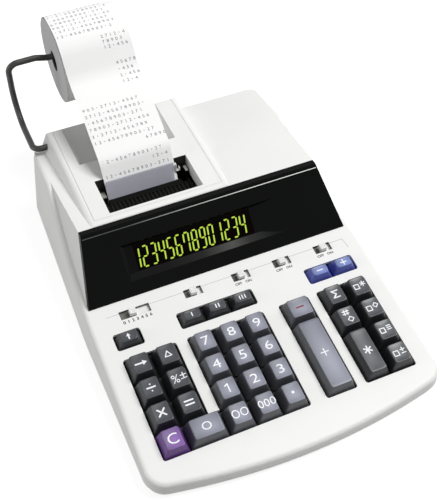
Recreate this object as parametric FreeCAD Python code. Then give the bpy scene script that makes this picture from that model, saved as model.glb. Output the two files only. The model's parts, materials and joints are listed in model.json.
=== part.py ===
import FreeCAD, Part
import math
import os

from FreeCAD import Placement, Rotation, Vector

os.makedirs("parts", exist_ok=True)

# Frame: X to the user's right, Y to the rear, Z up, millimetres.
# The shapes are drawn with Y counted from the middle of the case. They are written with the
# origin on the table under the middle of the whole machine, with its paper roll.

# Body outline and walls
body_width = 225.0
front_corner_y = -145.6
front_corner_radius = 16.0
front_lean = 10.72
front_flat = 11.32
side_bend_y = -10.0
side_bend_radius = 400.0
rear_taper = 7.0
rear_y = 157.0
rear_corner_radius = 16.0
wall = 2.5
side_draft = 0.11
foot_height = 3.0
split_z = 9.0
tray_tuck = 2.0
floor_thickness = 2.5

# Deck, display slope, top panel and hump
deck_angle = 8.0
deck_front_y = -156.5
deck_front_z = 16.0
rim_bend_y = 41.0
rim_flat = 0.7
rim_crest_y = 99.0
rim_crest_radius = 18.0
rim_round = 4.0
slope_foot_y = -5.3
slope_foot_z = 38.8
slope_top_y = 29.9
slope_top_z = 78.6
panel_fall = 0.1205
flank_inset = 17.5
flank_slope = 0.2378
hump_centre_x = -30.0
hump_top_half = 55.5
hump_side_slope = 0.357
hump_rise = 0.017
hump_round = 5.0
hump_base_z = 50.0

# Printer cover
cover_margin = 4.5
cover_front_y = 40.0
cover_low_z = 62.0
seam_gap = 0.2
ledge_width = 3.0
ledge_thickness = 1.6
ledge_root = 2.0
ledge_drop = 4.0
ledge_rear_gap = 8.0
window_left = -68.0
window_right = 6.5
window_front_y = 43.0
window_rear_y = 79.0
window_flange = 2.0
window_flange_low_z = 66.0
bar_rear_y = 101.0
ramp_low_z = 62.0
ramp_left_slope = 0.45
ramp_right_slope = 0.2
ramp_low_left = -65.0
ramp_low_right = 3.0
feed_slot = 4.0

# Display
bezel_thickness = 4.0
recess_depth = 2.5
recess_outer = (-70.0, 55.7, 10.0, 37.5)
recess_inner = (-67.0, 38.0, 15.3, 35.5)
tube_left = -66.0
tube_right = 44.0
tube_low = 8.5
tube_high = 43.0
tube_thickness = 6.0
tube_clearance = 0.2

# Keys, in deck coordinates: x across, v up the deck, w out of it
key_pitch = 20.0
key_size = 19.0
key_top_width = 12.4
key_top_depth = 14.8
key_height = 8.0
key_skirt = 3.0
key_wall = 1.2
key_roof = 1.6
key_corner = 1.6
key_travel = 3.0
stem_size = 5.0
stem_clearance = 0.15
well_margin = 0.8
well_corner = 2.0
first_row_v = 35.5
left_column_x = -86.0
number_column_x = -37.3
sum_column_x = 37.3
right_column_x = 66.7
sum_key_width = 22.6
small_row_v = 120.4
small_key_depth = 12.2
small_key_height = 5.0
small_top_depth = 7.6

# Key frame and boards
frame_gap = 0.5
frame_plate = 1.5
stem_reach = 0.6
board_gap = 0.2
board_thickness = 1.2
frame_reach = 4.8
frame_low_v = 22.0
frame_high_v = 130.0
frame_post_radius = 2.3
frame_corner = 3.0
board_margin = 2.0

# Slide switches
switch_v = 140.4
switch_slot_depth = 7.0
switch_slot_width = 14.0
decimal_slot_width = 23.2
switch_columns = (-28.1, 10.7, 44.7, 79.7)
decimal_x = -73.9
decimal_rest = -1.8
switch_throw = 3.5
decimal_throw = 7.2
knob_width = 5.0
knob_depth = 5.6
knob_height = 3.4
knob_corner = 0.8
slider_thickness = 1.2
slider_gap = 0.1
slider_overlap = 1.0

# Printer
paper_left = -61.0
paper_right = -4.0
paper_thickness = 0.4
tear_line_y = 69.9
tear_line_z = 66.0
tear_angle = 60.9
platen_radius = 9.0
platen_z = 46.0
platen_end_gap = 1.5
shaft_radius = 2.5
running_gap = 0.06
gear_module = 1.0
platen_teeth = 20
pinion_teeth = 10
gear_backlash = 0.3
gear_width = 3.0
gear_side_gap = 0.5
tooth_rise = 0.9
tooth_fall = 1.1
tooth_root_share = 0.32
tooth_tip_share = 0.12
shaft_overhang = 2.0
mesh_angle = -30.0
pinion_shaft_radius = 1.5
pinion_shaft_reach = 9.0
motor_radius = 11.0
motor_length = 34.0
motor_foot_half = 8.0
side_plate = 1.5
left_plate_x = -66.0
right_plate_x = 3.0
base_plate_z = 22.0
base_plate_thickness = 2.0
base_plate_left = -95.0
base_plate_right = 48.0
base_plate_front_y = 42.0
base_plate_rear_y = 125.0
side_plate_front_y = 44.0
side_plate_rear_y = 92.0
guide_top_z = 66.0
guide_thickness = 2.0
guide_rear_y = 65.2
rib_height = 1.0
rib_width = 0.9
rib_pitch = 3.2
guide_rod_radius = 2.0
guide_rod_y = 50.0
guide_rod_z = 46.0
carriage_width = 14.0
carriage_half_depth = 5.0
carriage_drop = 6.0
carriage_rise = 8.0
head_inset = 4.0
head_low = 2.5
head_high = 4.0
head_gap = 1.2
carriage_start_x = -63.5
spool_radius = 13.0
spool_flange = 1.0
ribbon_inset = 2.5
notch_width = 1.6
notch_reach = 1.5
notch_depth = 3.0
spool_height = 12.0
spool_z = 43.0
spool_y = 57.0
spool_left_x = -80.0
spool_right_x = 20.0
spindle_radius = 2.0
tear_plate_thickness = 1.2
tear_plate_gap = 0.8
tear_plate_left = -62.0
tear_plate_right = -2.0
tear_top_z = 79.6
tear_foot_thickness = 1.2
tear_foot_clearance = 0.1
guide_seat = 2.6
tooth_pitch = 2.0
tooth_height = 1.2

# Paper roll, arm and tape
roll_y = 192.0
roll_z = 113.0
roll_radius = 34.5
roll_left = -61.3
roll_right = -3.8
core_radius = 7.5
arm_radius = 2.5
arm_axis_y = 142.0
arm_axis_z = 70.8
arm_side_x = -98.5
arm_inner_end_x = -83.0
arm_elbow_radius = 6.0
arm_heel_y = 198.0
arm_heel_z = 68.5
arm_heel_radius = 24.0
arm_shoulder_radius = 8.0
arm_jog_start_x = -76.0
arm_jog_end_x = -66.0
arm_end_x = 3.0
arm_boss_radius = 4.6
arm_boss_lap = 3.0
arm_end_gap = 0.5
arm_jog_rise = 2.5
arm_jog_radius = 8.0
arm_lean = 0.6
soft_gap = 0.3
tape_tail_y = 22.0
tape_tail_z = 7.0
tape_tail_radius = 12.0
tape_lead_y = 3.0
tape_bend_z = 91.7
tape_bend_radius = 14.0
tape_sag_point = (118.0, 110.0)
tape_sag_radius = 60.0
tape_climb_point = (147.0, 122.0)
tape_climb_radius = 25.0
tape_touch_y = 24.0
tape_touch_radius = 30.0
tape_over_y = 11.0
tape_over_radius = 20.0
tape_end_y = 25.5
tape_end_z = 24.5

# Fixings
foot_radius = 7.5
foot_seat = 1.0
foot_gap = 0.15
foot_chamfer = 0.8
foot_side_inset = 24.5
foot_front_inset = 22.5
foot_rear_side_inset = 19.5
foot_rear_inset = 39.0
lip_height = 3.5
lip_gap = 0.15
lip_thickness = 1.5
screw_radius = 1.5
screw_head_radius = 2.8
screw_head_height = 1.3
screw_slot_width = 0.8
screw_slot_depth = 0.6
screw_recess = 0.2
screw_top_z = 13.0
screw_front_x = 62.0
screw_front_inset = 11.5
screw_side_inset = 14.5
screw_middle_back = 11.3
screw_rear_side_inset = 17.5
screw_rear_inset = 19.0
boss_radius = 3.6
boss_gap = 0.3
fixing_gap = 0.05
post_radius = 3.5
post_inset = 8.0
cord_hole_radius = 4.0
cord_hole_x = 62.0
cord_hole_z = 22.0
cord_collar_wall = 2.0
cord_collar_length = 10.0
cord_collar_inset = 8.0

# Main board and what it carries, measured from its front left corner
main_board_z = 12.0
main_board_left = 52.0
main_board_front = 24.0
main_board_width = 46.0
main_board_depth = 104.0
main_board_post_inset = 6.0
transformer_x = 6.0
transformer_y = 60.0
transformer_size = 34.0
transformer_height = 28.0
winding_inset = 4.0
winding_reach = 5.0
sink_x = 4.0
sink_y = 20.0
sink_thickness = 2.0
sink_depth = 26.0
sink_height = 22.0
chip_x = 16.0
chip_y = 22.0
chip_width = 22.0
chip_depth = 12.0
chip_height = 3.0
can_x = 12.0
can_y = 44.0
can_pitch = 12.0
can_count = 3
can_radius = 4.5
can_height = 16.0

FAR = 260.0
DEEP = -40.0
CEILING = 100.0
LAP = 1.0
deck_slope = math.tan(math.radians(deck_angle))
slope_angle = math.atan2(slope_top_z - slope_foot_z, slope_top_y - slope_foot_y)
deck_frame = Placement(Vector(0, deck_front_y, deck_front_z), Rotation(Vector(1, 0, 0), deck_angle))
slope_frame = Placement(
    Vector(0, slope_foot_y, slope_foot_z), Rotation(Vector(1, 0, 0), math.degrees(slope_angle))
)
rear_half = body_width / 2 - rear_taper
housing_top_half = body_width / 2 - flank_inset
cover_half = hump_top_half - cover_margin
frame_half = right_column_x + key_pitch + key_size / 2 + frame_reach


def deck_z(y):
    return deck_front_z + (y - deck_front_y) * deck_slope


def panel_z(y):
    return slope_top_z - (y - slope_top_y) * panel_fall


def hump_z(y):
    return slope_top_z + (y - slope_top_y) * hump_rise


def in_plan(a, b):
    return Vector(a, b, 0)


def in_side(a, b):
    return Vector(0, a, b)


def in_front(a, b):
    return Vector(a, 0, b)


def offset_outline(points, radii, distances):
    """Move each edge of an anticlockwise outline inwards and fit its corner radii."""
    count = len(points)
    lines = []
    for i in range(count):
        ax, ay = points[i]
        bx, by = points[(i + 1) % count]
        length = math.hypot(bx - ax, by - ay)
        dx = (bx - ax) / length
        dy = (by - ay) / length
        move = distances[i]
        lines.append((ax - dy * move, ay + dx * move, dx, dy))
    corners = []
    for i in range(count):
        px, py, pdx, pdy = lines[i - 1]
        qx, qy, qdx, qdy = lines[i]
        cross = pdx * qdy - pdy * qdx
        step = ((qx - px) * qdy - (qy - py) * qdx) / cross
        corners.append((px + pdx * step, py + pdy * step))
    fitted = []
    for i in range(count):
        cross = lines[i - 1][2] * lines[i][3] - lines[i - 1][3] * lines[i][2]
        change = -distances[i] if cross > 0 else distances[i]
        fitted.append(max(radii[i] + change, 0.0) if radii[i] > 0 else 0.0)
    return corners, fitted


def rounded_edges(points, radii, place, closed=True):
    """Straight runs joined by tangent arcs through a list of 2D points."""
    count = len(points)
    ends = []
    for i in range(count):
        x, y = points[i]
        if radii[i] <= 0 or (not closed and i in (0, count - 1)):
            ends.append(((x, y), None, (x, y)))
            continue
        bx, by = points[i - 1]
        ax, ay = points[(i + 1) % count]
        back = math.hypot(bx - x, by - y)
        ahead = math.hypot(ax - x, ay - y)
        ux, uy = (bx - x) / back, (by - y) / back
        vx, vy = (ax - x) / ahead, (ay - y) / ahead
        inside = math.acos(max(-1.0, min(1.0, ux * vx + uy * vy)))
        tangent = radii[i] / math.tan(inside / 2)
        centre = radii[i] / math.sin(inside / 2)
        hx, hy = ux + vx, uy + vy
        half = math.hypot(hx, hy)
        reach = centre - radii[i]
        middle = (x + hx / half * reach, y + hy / half * reach)
        ends.append(((x + ux * tangent, y + uy * tangent), middle, (x + vx * tangent, y + vy * tangent)))
    edges = []
    for i in range(count):
        start, middle, end = ends[i]
        if middle:
            edges.append(Part.Arc(place(*start), place(*middle), place(*end)).toShape())
        if closed or i < count - 1:
            nearest = ends[(i + 1) % count][0]
            if math.hypot(nearest[0] - end[0], nearest[1] - end[1]) > 1e-6:
                edges.append(Part.LineSegment(place(*end), place(*nearest)).toShape())
    return edges


def outline_wire(points, radii, place):
    return Part.Wire(rounded_edges(points, radii, place))


def prism(points, radii, place, start, length):
    """Extrude an outline drawn by place() from start along the third axis."""
    axis = place(1, 0).cross(place(0, 1))
    direction = Vector(abs(axis.x), abs(axis.y), abs(axis.z))
    face = Part.Face(outline_wire(points, radii, place))
    face.translate(direction * start)
    return face.extrude(direction * length)


def block(x0, x1, y0, y1, z0, z1):
    return Part.makeBox(x1 - x0, y1 - y0, z1 - z0, Vector(x0, y0, z0))


def rod_x(x0, x1, y, z, radius):
    return Part.makeCylinder(radius, x1 - x0, Vector(x0, y, z), Vector(1, 0, 0))


def rod_z(x, y, z0, z1, radius):
    return Part.makeCylinder(radius, z1 - z0, Vector(x, y, z0), Vector(0, 0, 1))


def placed(shape, placement):
    moved = shape.copy()
    moved.Placement = placement.multiply(moved.Placement)
    return moved


def box_outline(x0, x1, y0, y1):
    return [(x0, y0), (x1, y0), (x1, y1), (x0, y1)]


def rounded_block(x0, x1, y0, y1, z0, z1, radius):
    return prism(box_outline(x0, x1, y0, y1), [radius] * 4, in_plan, z0, z1 - z0)


def front_point_y():
    """Where the two straight runs of the bowed front edge would meet."""
    return front_corner_y - body_width / 2 * math.tan(math.radians(front_lean))


def front_bow_radius():
    """Bend of the bowed front edge that leaves a short straight run before each corner."""
    lean = math.radians(front_lean)
    corner_reach = front_corner_radius * math.tan((math.pi / 2 - lean) / 2)
    return (body_width / 2 / math.cos(lean) - corner_reach - front_flat) / math.tan(lean)


def whole_middle_y():
    """Middle of the depth over all, from the bowed front to the rear of the paper roll."""
    bow_y = front_point_y() + front_bow_radius() * (1 / math.cos(math.radians(front_lean)) - 1)
    return (bow_y + roll_y + roll_radius) / 2


def plan_outline(inset):
    """The body seen from above, drawn in by inset all round."""
    half = body_width / 2
    points = [
        (0, front_point_y()),
        (half, front_corner_y),
        (half, side_bend_y),
        (rear_half, rear_y),
        (-rear_half, rear_y),
        (-half, side_bend_y),
        (-half, front_corner_y),
    ]
    radii = [
        front_bow_radius(),
        front_corner_radius,
        side_bend_radius,
        rear_corner_radius,
        rear_corner_radius,
        side_bend_radius,
        front_corner_radius,
    ]
    return offset_outline(points, radii, [inset] * len(points))


def plan_wire(inset, z):
    points, radii = plan_outline(inset)
    wire = outline_wire(points, radii, in_plan)
    wire.translate(Vector(0, 0, z))
    return wire


def plan_loft(low_inset, low_z, high_inset, high_z):
    return Part.makeLoft([plan_wire(low_inset, low_z), plan_wire(high_inset, high_z)], True, True)


def drafted_plan(inset, low_z, high_z):
    return plan_loft(
        inset + side_draft * (low_z - split_z), low_z, inset + side_draft * (high_z - split_z), high_z
    )


def meets_top_and_side(shape, edge):
    """True for an edge between an upward face and a steep face."""
    least_top = 0.75
    most_side = 0.4
    kinds = set()
    for face in shape.ancestorsOfType(edge, Part.Face):
        u0, u1, v0, v1 = face.ParameterRange
        normal = face.normalAt((u0 + u1) / 2, (v0 + v1) / 2)
        if normal.z > least_top:
            kinds.add("top")
        if abs(normal.z) < most_side:
            kinds.add("side")
    return len(kinds) == 2


def rim_bend_radius():
    """Largest bend that sweeps the rim from the deck up to its crest."""
    crest_z = panel_z(rim_crest_y)
    rise = math.atan2(crest_z - deck_z(rim_bend_y), rim_crest_y - rim_bend_y)
    length = math.hypot(crest_z - deck_z(rim_bend_y), rim_crest_y - rim_bend_y)
    crest_reach = rim_crest_radius * math.tan((rise + math.atan(panel_fall)) / 2)
    return (length - crest_reach - rim_flat) / math.tan((rise - math.radians(deck_angle)) / 2)


def rim_form(inset):
    """Tub of the case up to the deck, the swept rims and the rear panel."""
    points = [
        (-FAR, DEEP),
        (FAR, DEEP),
        (FAR, panel_z(FAR)),
        (rim_crest_y, panel_z(rim_crest_y)),
        (rim_bend_y, deck_z(rim_bend_y)),
        (-FAR, deck_z(-FAR)),
    ]
    radii = [0, 0, 0, rim_crest_radius, rim_bend_radius(), 0]
    points, radii = offset_outline(points, radii, [0, 0, inset, inset, inset, 0])
    return prism(points, radii, in_side, -FAR, 2 * FAR)


def slope_profile(top_z, inset, setback):
    low_y = slope_foot_y - (slope_foot_z - DEEP) / math.tan(slope_angle)
    points = [(low_y, DEEP), (FAR, DEEP), (FAR, top_z(FAR)), (slope_top_y, slope_top_z)]
    points, radii = offset_outline(points, [0] * 4, [0, 0, inset, inset + setback])
    return prism(points, radii, in_side, -FAR, 2 * FAR)


def housing_form(inset, setback):
    """Display housing between its two inclined flanks."""
    low_half = housing_top_half + (slope_top_z - DEEP) * flank_slope
    high_half = housing_top_half - (FAR - slope_top_z) * flank_slope
    points = [(-low_half, DEEP), (low_half, DEEP), (high_half, FAR), (-high_half, FAR)]
    points, radii = offset_outline(points, [0] * 4, [0, inset, 0, inset])
    section = prism(points, radii, in_front, -FAR, 2 * FAR)
    return section.common(slope_profile(panel_z, inset, setback))


def hump_form(inset, setback, low_z=hump_base_z):
    """Raised printer hump with its drafted sides."""
    low_half = hump_top_half + (slope_top_z - low_z) * hump_side_slope
    high_half = hump_top_half - (CEILING - slope_top_z) * hump_side_slope
    points = [
        (hump_centre_x - low_half, low_z),
        (hump_centre_x + low_half, low_z),
        (hump_centre_x + high_half, CEILING),
        (hump_centre_x - high_half, CEILING),
    ]
    points, radii = offset_outline(points, [0] * 4, [0, inset, 0, inset])
    section = prism(points, radii, in_front, -FAR, 2 * FAR)
    return section.common(slope_profile(hump_z, inset, setback))


def rounded_hump(setback):
    """Outer hump inside the drafted plan, with rounded shoulders."""
    hump = hump_form(0, setback).common(drafted_plan(0, split_z, CEILING))
    shoulders = []
    for edge in hump.Edges:
        if meets_top_and_side(hump, edge):
            middle = edge.valueAt((edge.FirstParameter + edge.LastParameter) / 2)
            if middle.y > cover_front_y:
                shoulders.append(edge)
    return hump.makeFillet(hump_round, shoulders)


def rounded_tub():
    tub = rim_form(0).common(drafted_plan(0, split_z, CEILING))
    crest = [edge for edge in tub.Edges if meets_top_and_side(tub, edge)]
    return tub.makeFillet(rim_round, crest)


def outer_form(setback):
    plan = drafted_plan(0, split_z, CEILING)
    return rounded_tub().fuse([housing_form(0, setback).common(plan), rounded_hump(setback)])


def inner_form():
    plan = drafted_plan(wall, DEEP, CEILING)
    parts = [housing_form(wall, bezel_thickness), hump_form(wall, bezel_thickness)]
    return rim_form(wall).fuse(parts).common(plan)


def deck_block(x0, x1, v0, v1, w0, w1, radius=0.0):
    return placed(rounded_block(x0, x1, v0, v1, w0, w1, radius), deck_frame)


def slope_block(x0, x1, s0, s1, d0, d1, radius=0.0):
    """Block on the display slope: s up the slope, d out of it."""
    return placed(rounded_block(x0, x1, s0, s1, d0, d1, radius), slope_frame)


# Key layout: name, x, v, width, depth, height, top depth, stem offsets along v
def row_v(row):
    return first_row_v + key_pitch * row


def key_entry(name, x, v, width=key_size, depth=key_size):
    return {"name": name, "x": x, "v": v, "width": width, "depth": depth, "height": key_height,
            "top_cut": key_size - key_top_depth, "small": False}


def small_entry(name, x):
    return {"name": name, "x": x, "v": small_row_v, "width": key_size, "depth": small_key_depth,
            "height": small_key_height, "top_cut": small_key_depth - small_top_depth, "small": True}


def key_layout():
    keys = []
    numbers = (("key_7", "key_8", "key_9"), ("key_4", "key_5", "key_6"), ("key_1", "key_2", "key_3"))
    for line, names in enumerate(numbers):
        for column, name in enumerate(names):
            keys.append(key_entry(name, number_column_x + key_pitch * column, row_v(3 - line)))
    for column, name in enumerate(("key_double_zero", "key_triple_zero", "key_point")):
        keys.append(key_entry(name, number_column_x + key_pitch * column, row_v(0)))
    left = (("key_right_shift", "key_change"), ("key_divide", "key_percent"), ("key_multiply", "key_equals"))
    for line, names in enumerate(left):
        for column, name in enumerate(names):
            keys.append(key_entry(name, left_column_x + key_pitch * column, row_v(3 - line)))
    keys.append(key_entry("key_clear", left_column_x, row_v(0)))
    zero_left = left_column_x + key_size / 2 + (key_pitch - key_size)
    zero_right = number_column_x - key_size / 2 - (key_pitch - key_size)
    keys.append(key_entry("key_0", (zero_left + zero_right) / 2, row_v(0), zero_right - zero_left))
    keys.append(key_entry("key_minus", sum_column_x, row_v(3), sum_key_width))
    keys.append(key_entry("key_plus", sum_column_x, row_v(1), sum_key_width, key_size + 2 * key_pitch))
    right = (("key_grand_total", "key_memory_total"), ("key_number_sign", "key_memory_diamond"))
    for line, names in enumerate(right):
        for column, name in enumerate(names):
            keys.append(key_entry(name, right_column_x + key_pitch * column, row_v(3 - line)))
    keys.append(key_entry("key_memory_equals", right_column_x + key_pitch, row_v(1)))
    keys.append(key_entry("key_memory_plus_minus", right_column_x + key_pitch, row_v(0)))
    keys.append(key_entry("key_total", right_column_x, row_v(0.5), key_size, key_size + key_pitch))
    keys.append(small_entry("key_paper_feed", left_column_x))
    for column, name in enumerate(("key_cost", "key_sell", "key_margin")):
        keys.append(small_entry(name, number_column_x + key_pitch * column))
    for column, name in enumerate(("key_tax_less", "key_tax_more")):
        keys.append(small_entry(name, right_column_x + key_pitch * column))
    return keys


def stem_places(key):
    """Stem centres as offsets along v: long keys stand on two stems."""
    spread = (key["depth"] - key_size) / 2
    if spread > key_pitch / 2 - 1:
        return (-spread, spread)
    return (0.0,)


def key_loft(width, depth, top_width, top_depth, low, high, corner):
    """Tapered rounded block about the local axis."""
    wires = []
    for w, (a, b) in ((low, (width, depth)), (high, (top_width, top_depth))):
        wire = outline_wire(box_outline(-a / 2, a / 2, -b / 2, b / 2), [corner] * 4, in_plan)
        wire.translate(Vector(0, 0, w))
        wires.append(wire)
    return Part.makeLoft(wires, True, True)


def key_cap(key):
    width, depth, height = key["width"], key["depth"], key["height"]
    side_cut = key_size - key_top_width
    top_width = width - side_cut
    top_depth = depth - key["top_cut"]
    cap = key_loft(width, depth, top_width, top_depth, -key_skirt, height, key_corner)
    share = key_roof / (height + key_skirt)
    inner_top_width = top_width + side_cut * share - 2 * key_wall
    inner_top_depth = top_depth + key["top_cut"] * share - 2 * key_wall
    hollow = key_loft(
        width - 2 * key_wall, depth - 2 * key_wall, inner_top_width, inner_top_depth,
        -key_skirt, height - key_roof, 0.0,
    )
    cap = cap.cut(hollow)
    half = stem_size / 2
    stem_low = frame_top_w() - frame_plate - stem_reach
    stem_high = height - key_roof / 2
    for offset in stem_places(key):
        cap = cap.fuse(block(-half, half, offset - half, offset + half, stem_low, stem_high))
    cap = cap.removeSplitter()
    cap.translate(Vector(key["x"], key["v"], 0))
    return placed(cap, deck_frame)


def frame_top_w():
    """Top of the key frame: the skirt stops just above it when a key is pressed."""
    return -(key_skirt + key_travel + frame_gap)


def board_top_w():
    return frame_top_w() - frame_plate - stem_reach - key_travel - board_gap


def well_boxes():
    """Openings of the deck round each group of keys: x0, x1, v0, v1."""
    reach = key_size / 2 + well_margin
    low = row_v(0) - reach
    high = row_v(3) + reach
    number_left = number_column_x - reach
    number_right = number_column_x + 2 * key_pitch + reach
    small_low = small_row_v - small_key_depth / 2 - well_margin
    small_high = small_row_v + small_key_depth / 2 + well_margin
    sum_reach = sum_key_width / 2 + well_margin
    right_edge = right_column_x + key_pitch + reach
    return [
        (left_column_x - reach, left_column_x + key_pitch + reach, low, high),
        (number_left, number_right, low, high),
        (left_column_x, number_column_x, low, row_v(0) + reach),
        (sum_column_x - sum_reach, sum_column_x + sum_reach, low, high),
        (right_column_x - reach, right_edge, low, high),
        (left_column_x - reach, left_column_x + reach, small_low, small_high),
        (number_left, number_right, small_low, small_high),
        (right_column_x - reach, right_edge, small_low, small_high),
    ]


def switch_layout():
    switches = [("switch_decimal", decimal_x, decimal_slot_width, decimal_rest)]
    names = ("switch_rounding", "switch_total", "switch_item", "switch_print")
    for name, x in zip(names, switch_columns):
        switches.append((name, x, switch_slot_width, 0.0))
    return switches


def frame_posts():
    """Places of the posts between the key wells, as (x, v)."""
    strip_left = (left_column_x + key_pitch + number_column_x) / 2
    strip_middle = (number_column_x + 2 * key_pitch + key_size / 2 + sum_column_x - sum_key_width / 2) / 2
    strip_right = (sum_column_x + sum_key_width / 2 + right_column_x - key_size / 2) / 2
    low = row_v(0.5)
    high = row_v(2.8)
    return [
        (strip_left, row_v(1.5)), (strip_left, high), (strip_middle, low), (strip_middle, high),
        (strip_right, low), (strip_right, high),
    ]


def both_sides(places):
    return [(side * x, y) for x, y in places for side in (-1, 1)]


def screw_places():
    front = (screw_front_x, deck_front_y + screw_front_inset)
    middle = (body_width / 2 - screw_side_inset, slope_foot_y + screw_middle_back)
    rear = (rear_half - screw_rear_side_inset, rear_y - screw_rear_inset)
    return both_sides((front, middle, rear))


def foot_places():
    front = (body_width / 2 - foot_side_inset, deck_front_y + foot_front_inset)
    rear = (rear_half - foot_rear_side_inset, rear_y - foot_rear_inset)
    return both_sides((front, rear))


def platen_axis():
    """Platen centre that makes the tape leave it along the tear line."""
    angle = math.radians(tear_angle)
    reach = platen_radius + soft_gap + paper_thickness / 2
    along = (platen_z - tear_line_z + reach * math.cos(angle)) / math.sin(angle)
    return tear_line_y + along * math.cos(angle) + reach * math.sin(angle), platen_z


def pinion_axis():
    distance = gear_module * (platen_teeth + pinion_teeth) / 2 + gear_backlash / 2
    angle = math.radians(mesh_angle)
    y, z = platen_axis()
    return y + distance * math.cos(angle), z + distance * math.sin(angle)


def cover_box(grow):
    left = hump_centre_x - cover_half - grow
    right = hump_centre_x + cover_half + grow
    return block(left, right, cover_front_y - grow, FAR, cover_low_z - grow, CEILING)


def cover_ledges():
    """Sunken strips of the case on which the printer cover rests, with the webs that carry them."""
    upper = wall + seam_gap / 2
    below = hump_form(upper + ledge_thickness, bezel_thickness, hump_base_z - LAP)
    layer = hump_form(upper, bezel_thickness).cut(below)
    root = hump_form(wall / 2, bezel_thickness).cut(below)
    low_z = hump_z(cover_front_y) - wall - ledge_drop
    rear = arm_axis_y - ledge_rear_gap
    ledges = []
    for side in (-1, 1):
        seam = hump_centre_x + side * cover_half
        outer = seam + side * ledge_root
        lip = sorted((outer, seam - side * ledge_width))
        step = sorted((outer, seam))
        ledges.append(layer.common(block(lip[0], lip[1], cover_front_y, rear, low_z, CEILING)))
        ledges.append(root.common(block(step[0], step[1], cover_front_y, rear, low_z, CEILING)))
    return ledges


def case_bosses():
    """Screw bosses, posts on the key frame and the bearing of the paper arm."""
    floor_z = foot_height + floor_thickness
    bosses = [rod_z(x, y, floor_z, CEILING, boss_radius) for x, y in screw_places()]
    for x, v in frame_posts():
        bosses.append(placed(rod_z(x, v, frame_top_w(), 0.0, frame_post_radius), deck_frame))
    flank_x = hump_centre_x - hump_top_half - (slope_top_z - arm_axis_z) * hump_side_slope
    bosses.append(rod_x(flank_x - arm_boss_lap, arm_inner_end_x, arm_axis_y, arm_axis_z, arm_boss_radius))
    body = outer_form(bezel_thickness)
    return [boss.common(body) for boss in bosses]


def case_openings():
    """Key wells, switch slots, display opening, screw holes and the bore of the arm."""
    below = -wall - LAP
    cuts = []
    for x0, x1, v0, v1 in well_boxes():
        cuts.append(deck_block(x0, x1, v0, v1, below, rim_round, well_corner))
    half = switch_slot_depth / 2
    for name, x, width, rest in switch_layout():
        side = width / 2
        cuts.append(deck_block(x - side, x + side, switch_v - half, switch_v + half, below, rim_round))
    gap = tube_clearance
    cuts.append(slope_block(tube_left - gap, tube_right + gap, tube_low - gap, tube_high + gap,
                            below - bezel_thickness, 0))
    for x, y in screw_places():
        cuts.append(rod_z(x, y, 0, screw_top_z + 2 * screw_recess, screw_radius + fixing_gap))
    cuts.append(rod_x(arm_side_x, arm_inner_end_x + arm_end_gap, arm_axis_y, arm_axis_z,
                      arm_radius + running_gap))
    return cuts


def rod_y(x, y0, y1, z, radius):
    return Part.makeCylinder(radius, y1 - y0, Vector(x, y0, z), Vector(0, 1, 0))


def upper_case():
    shell = outer_form(bezel_thickness).cut(inner_form()).fuse(case_bosses())
    shell = shell.cut(cover_box(0)).fuse(cover_ledges())
    shell = shell.cut(case_openings())
    inner_end = rear_y - cord_collar_inset
    outer_end = inner_end + cord_collar_length
    collar = rod_y(cord_hole_x, inner_end, outer_end, cord_hole_z, cord_hole_radius + cord_collar_wall)
    hole = rod_y(cord_hole_x, inner_end - LAP, outer_end + LAP, cord_hole_z, cord_hole_radius)
    return shell.fuse(collar).cut(hole).removeSplitter()


def lower_case():
    low = foot_height
    lip_top = split_z + lip_height
    outer = wall + lip_gap
    lean = side_draft * lip_height
    tray = plan_loft(tray_tuck, low, 0, split_z)
    tray = tray.fuse(plan_loft(outer, low + LAP, outer + lean, lip_top))
    inner = outer + lip_thickness
    floor_z = low + floor_thickness
    tray = tray.cut(plan_loft(inner, floor_z, inner + lean, lip_top + LAP))
    posts = []
    for x in (base_plate_left + post_inset, base_plate_right - post_inset):
        for y in (base_plate_front_y + post_inset, base_plate_rear_y - post_inset):
            posts.append(rod_z(x, y, floor_z - LAP, base_plate_z, post_radius))
    for x, y in main_board_posts():
        posts.append(rod_z(x, y, floor_z - LAP, main_board_z, post_radius))
    tray = tray.fuse(posts)
    cuts = []
    head_top = low + screw_head_height + screw_recess
    for x, y in screw_places():
        cuts.append(rod_z(x, y, 0, lip_top + LAP, screw_radius + fixing_gap))
        cuts.append(rod_z(x, y, 0, head_top, screw_head_radius + screw_recess))
        cuts.append(rod_z(x, y, floor_z, lip_top + LAP, boss_radius + boss_gap))
    for x, y in foot_places():
        cuts.append(rod_z(x, y, 0, low + foot_seat, foot_radius + foot_gap))
    return tray.cut(cuts).removeSplitter()


def case_screws():
    screws = []
    low = foot_height + screw_recess
    half = screw_slot_width / 2
    for x, y in screw_places():
        head = rod_z(x, y, low, low + screw_head_height, screw_head_radius)
        slot = block(x - screw_head_radius, x + screw_head_radius, y - half, y + half, low,
                     low + screw_slot_depth)
        shank = rod_z(x, y, low + screw_head_height, screw_top_z, screw_radius)
        screws.append(head.cut(slot).fuse(shank))
    return Part.makeCompound(screws)


def rubber_feet():
    feet = []
    for x, y in foot_places():
        foot = rod_z(x, y, 0, foot_height + foot_seat, foot_radius)
        rim = [edge for edge in foot.Edges if edge.Closed and edge.BoundBox.ZMax < foot_chamfer]
        feet.append(foot.makeChamfer(foot_chamfer, rim))
    return Part.makeCompound(feet)


def display_bezel():
    front = slope_profile(panel_z, 0, 0).cut(slope_profile(panel_z, 0, bezel_thickness))
    foot = block(-FAR, FAR, slope_foot_y, FAR, DEEP, FAR)
    plate = housing_form(0, 0).common(front).common(foot).cut(rim_form(0))
    wires = []
    for (x0, x1, s0, s1), d in ((recess_outer, 0.0), (recess_inner, -recess_depth)):
        wire = outline_wire(box_outline(x0, x1, s0, s1), [0] * 4, in_plan)
        wire.translate(Vector(0, 0, d))
        wires.append(wire)
    return plate.cut(placed(Part.makeLoft(wires, True, True), slope_frame))


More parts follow.
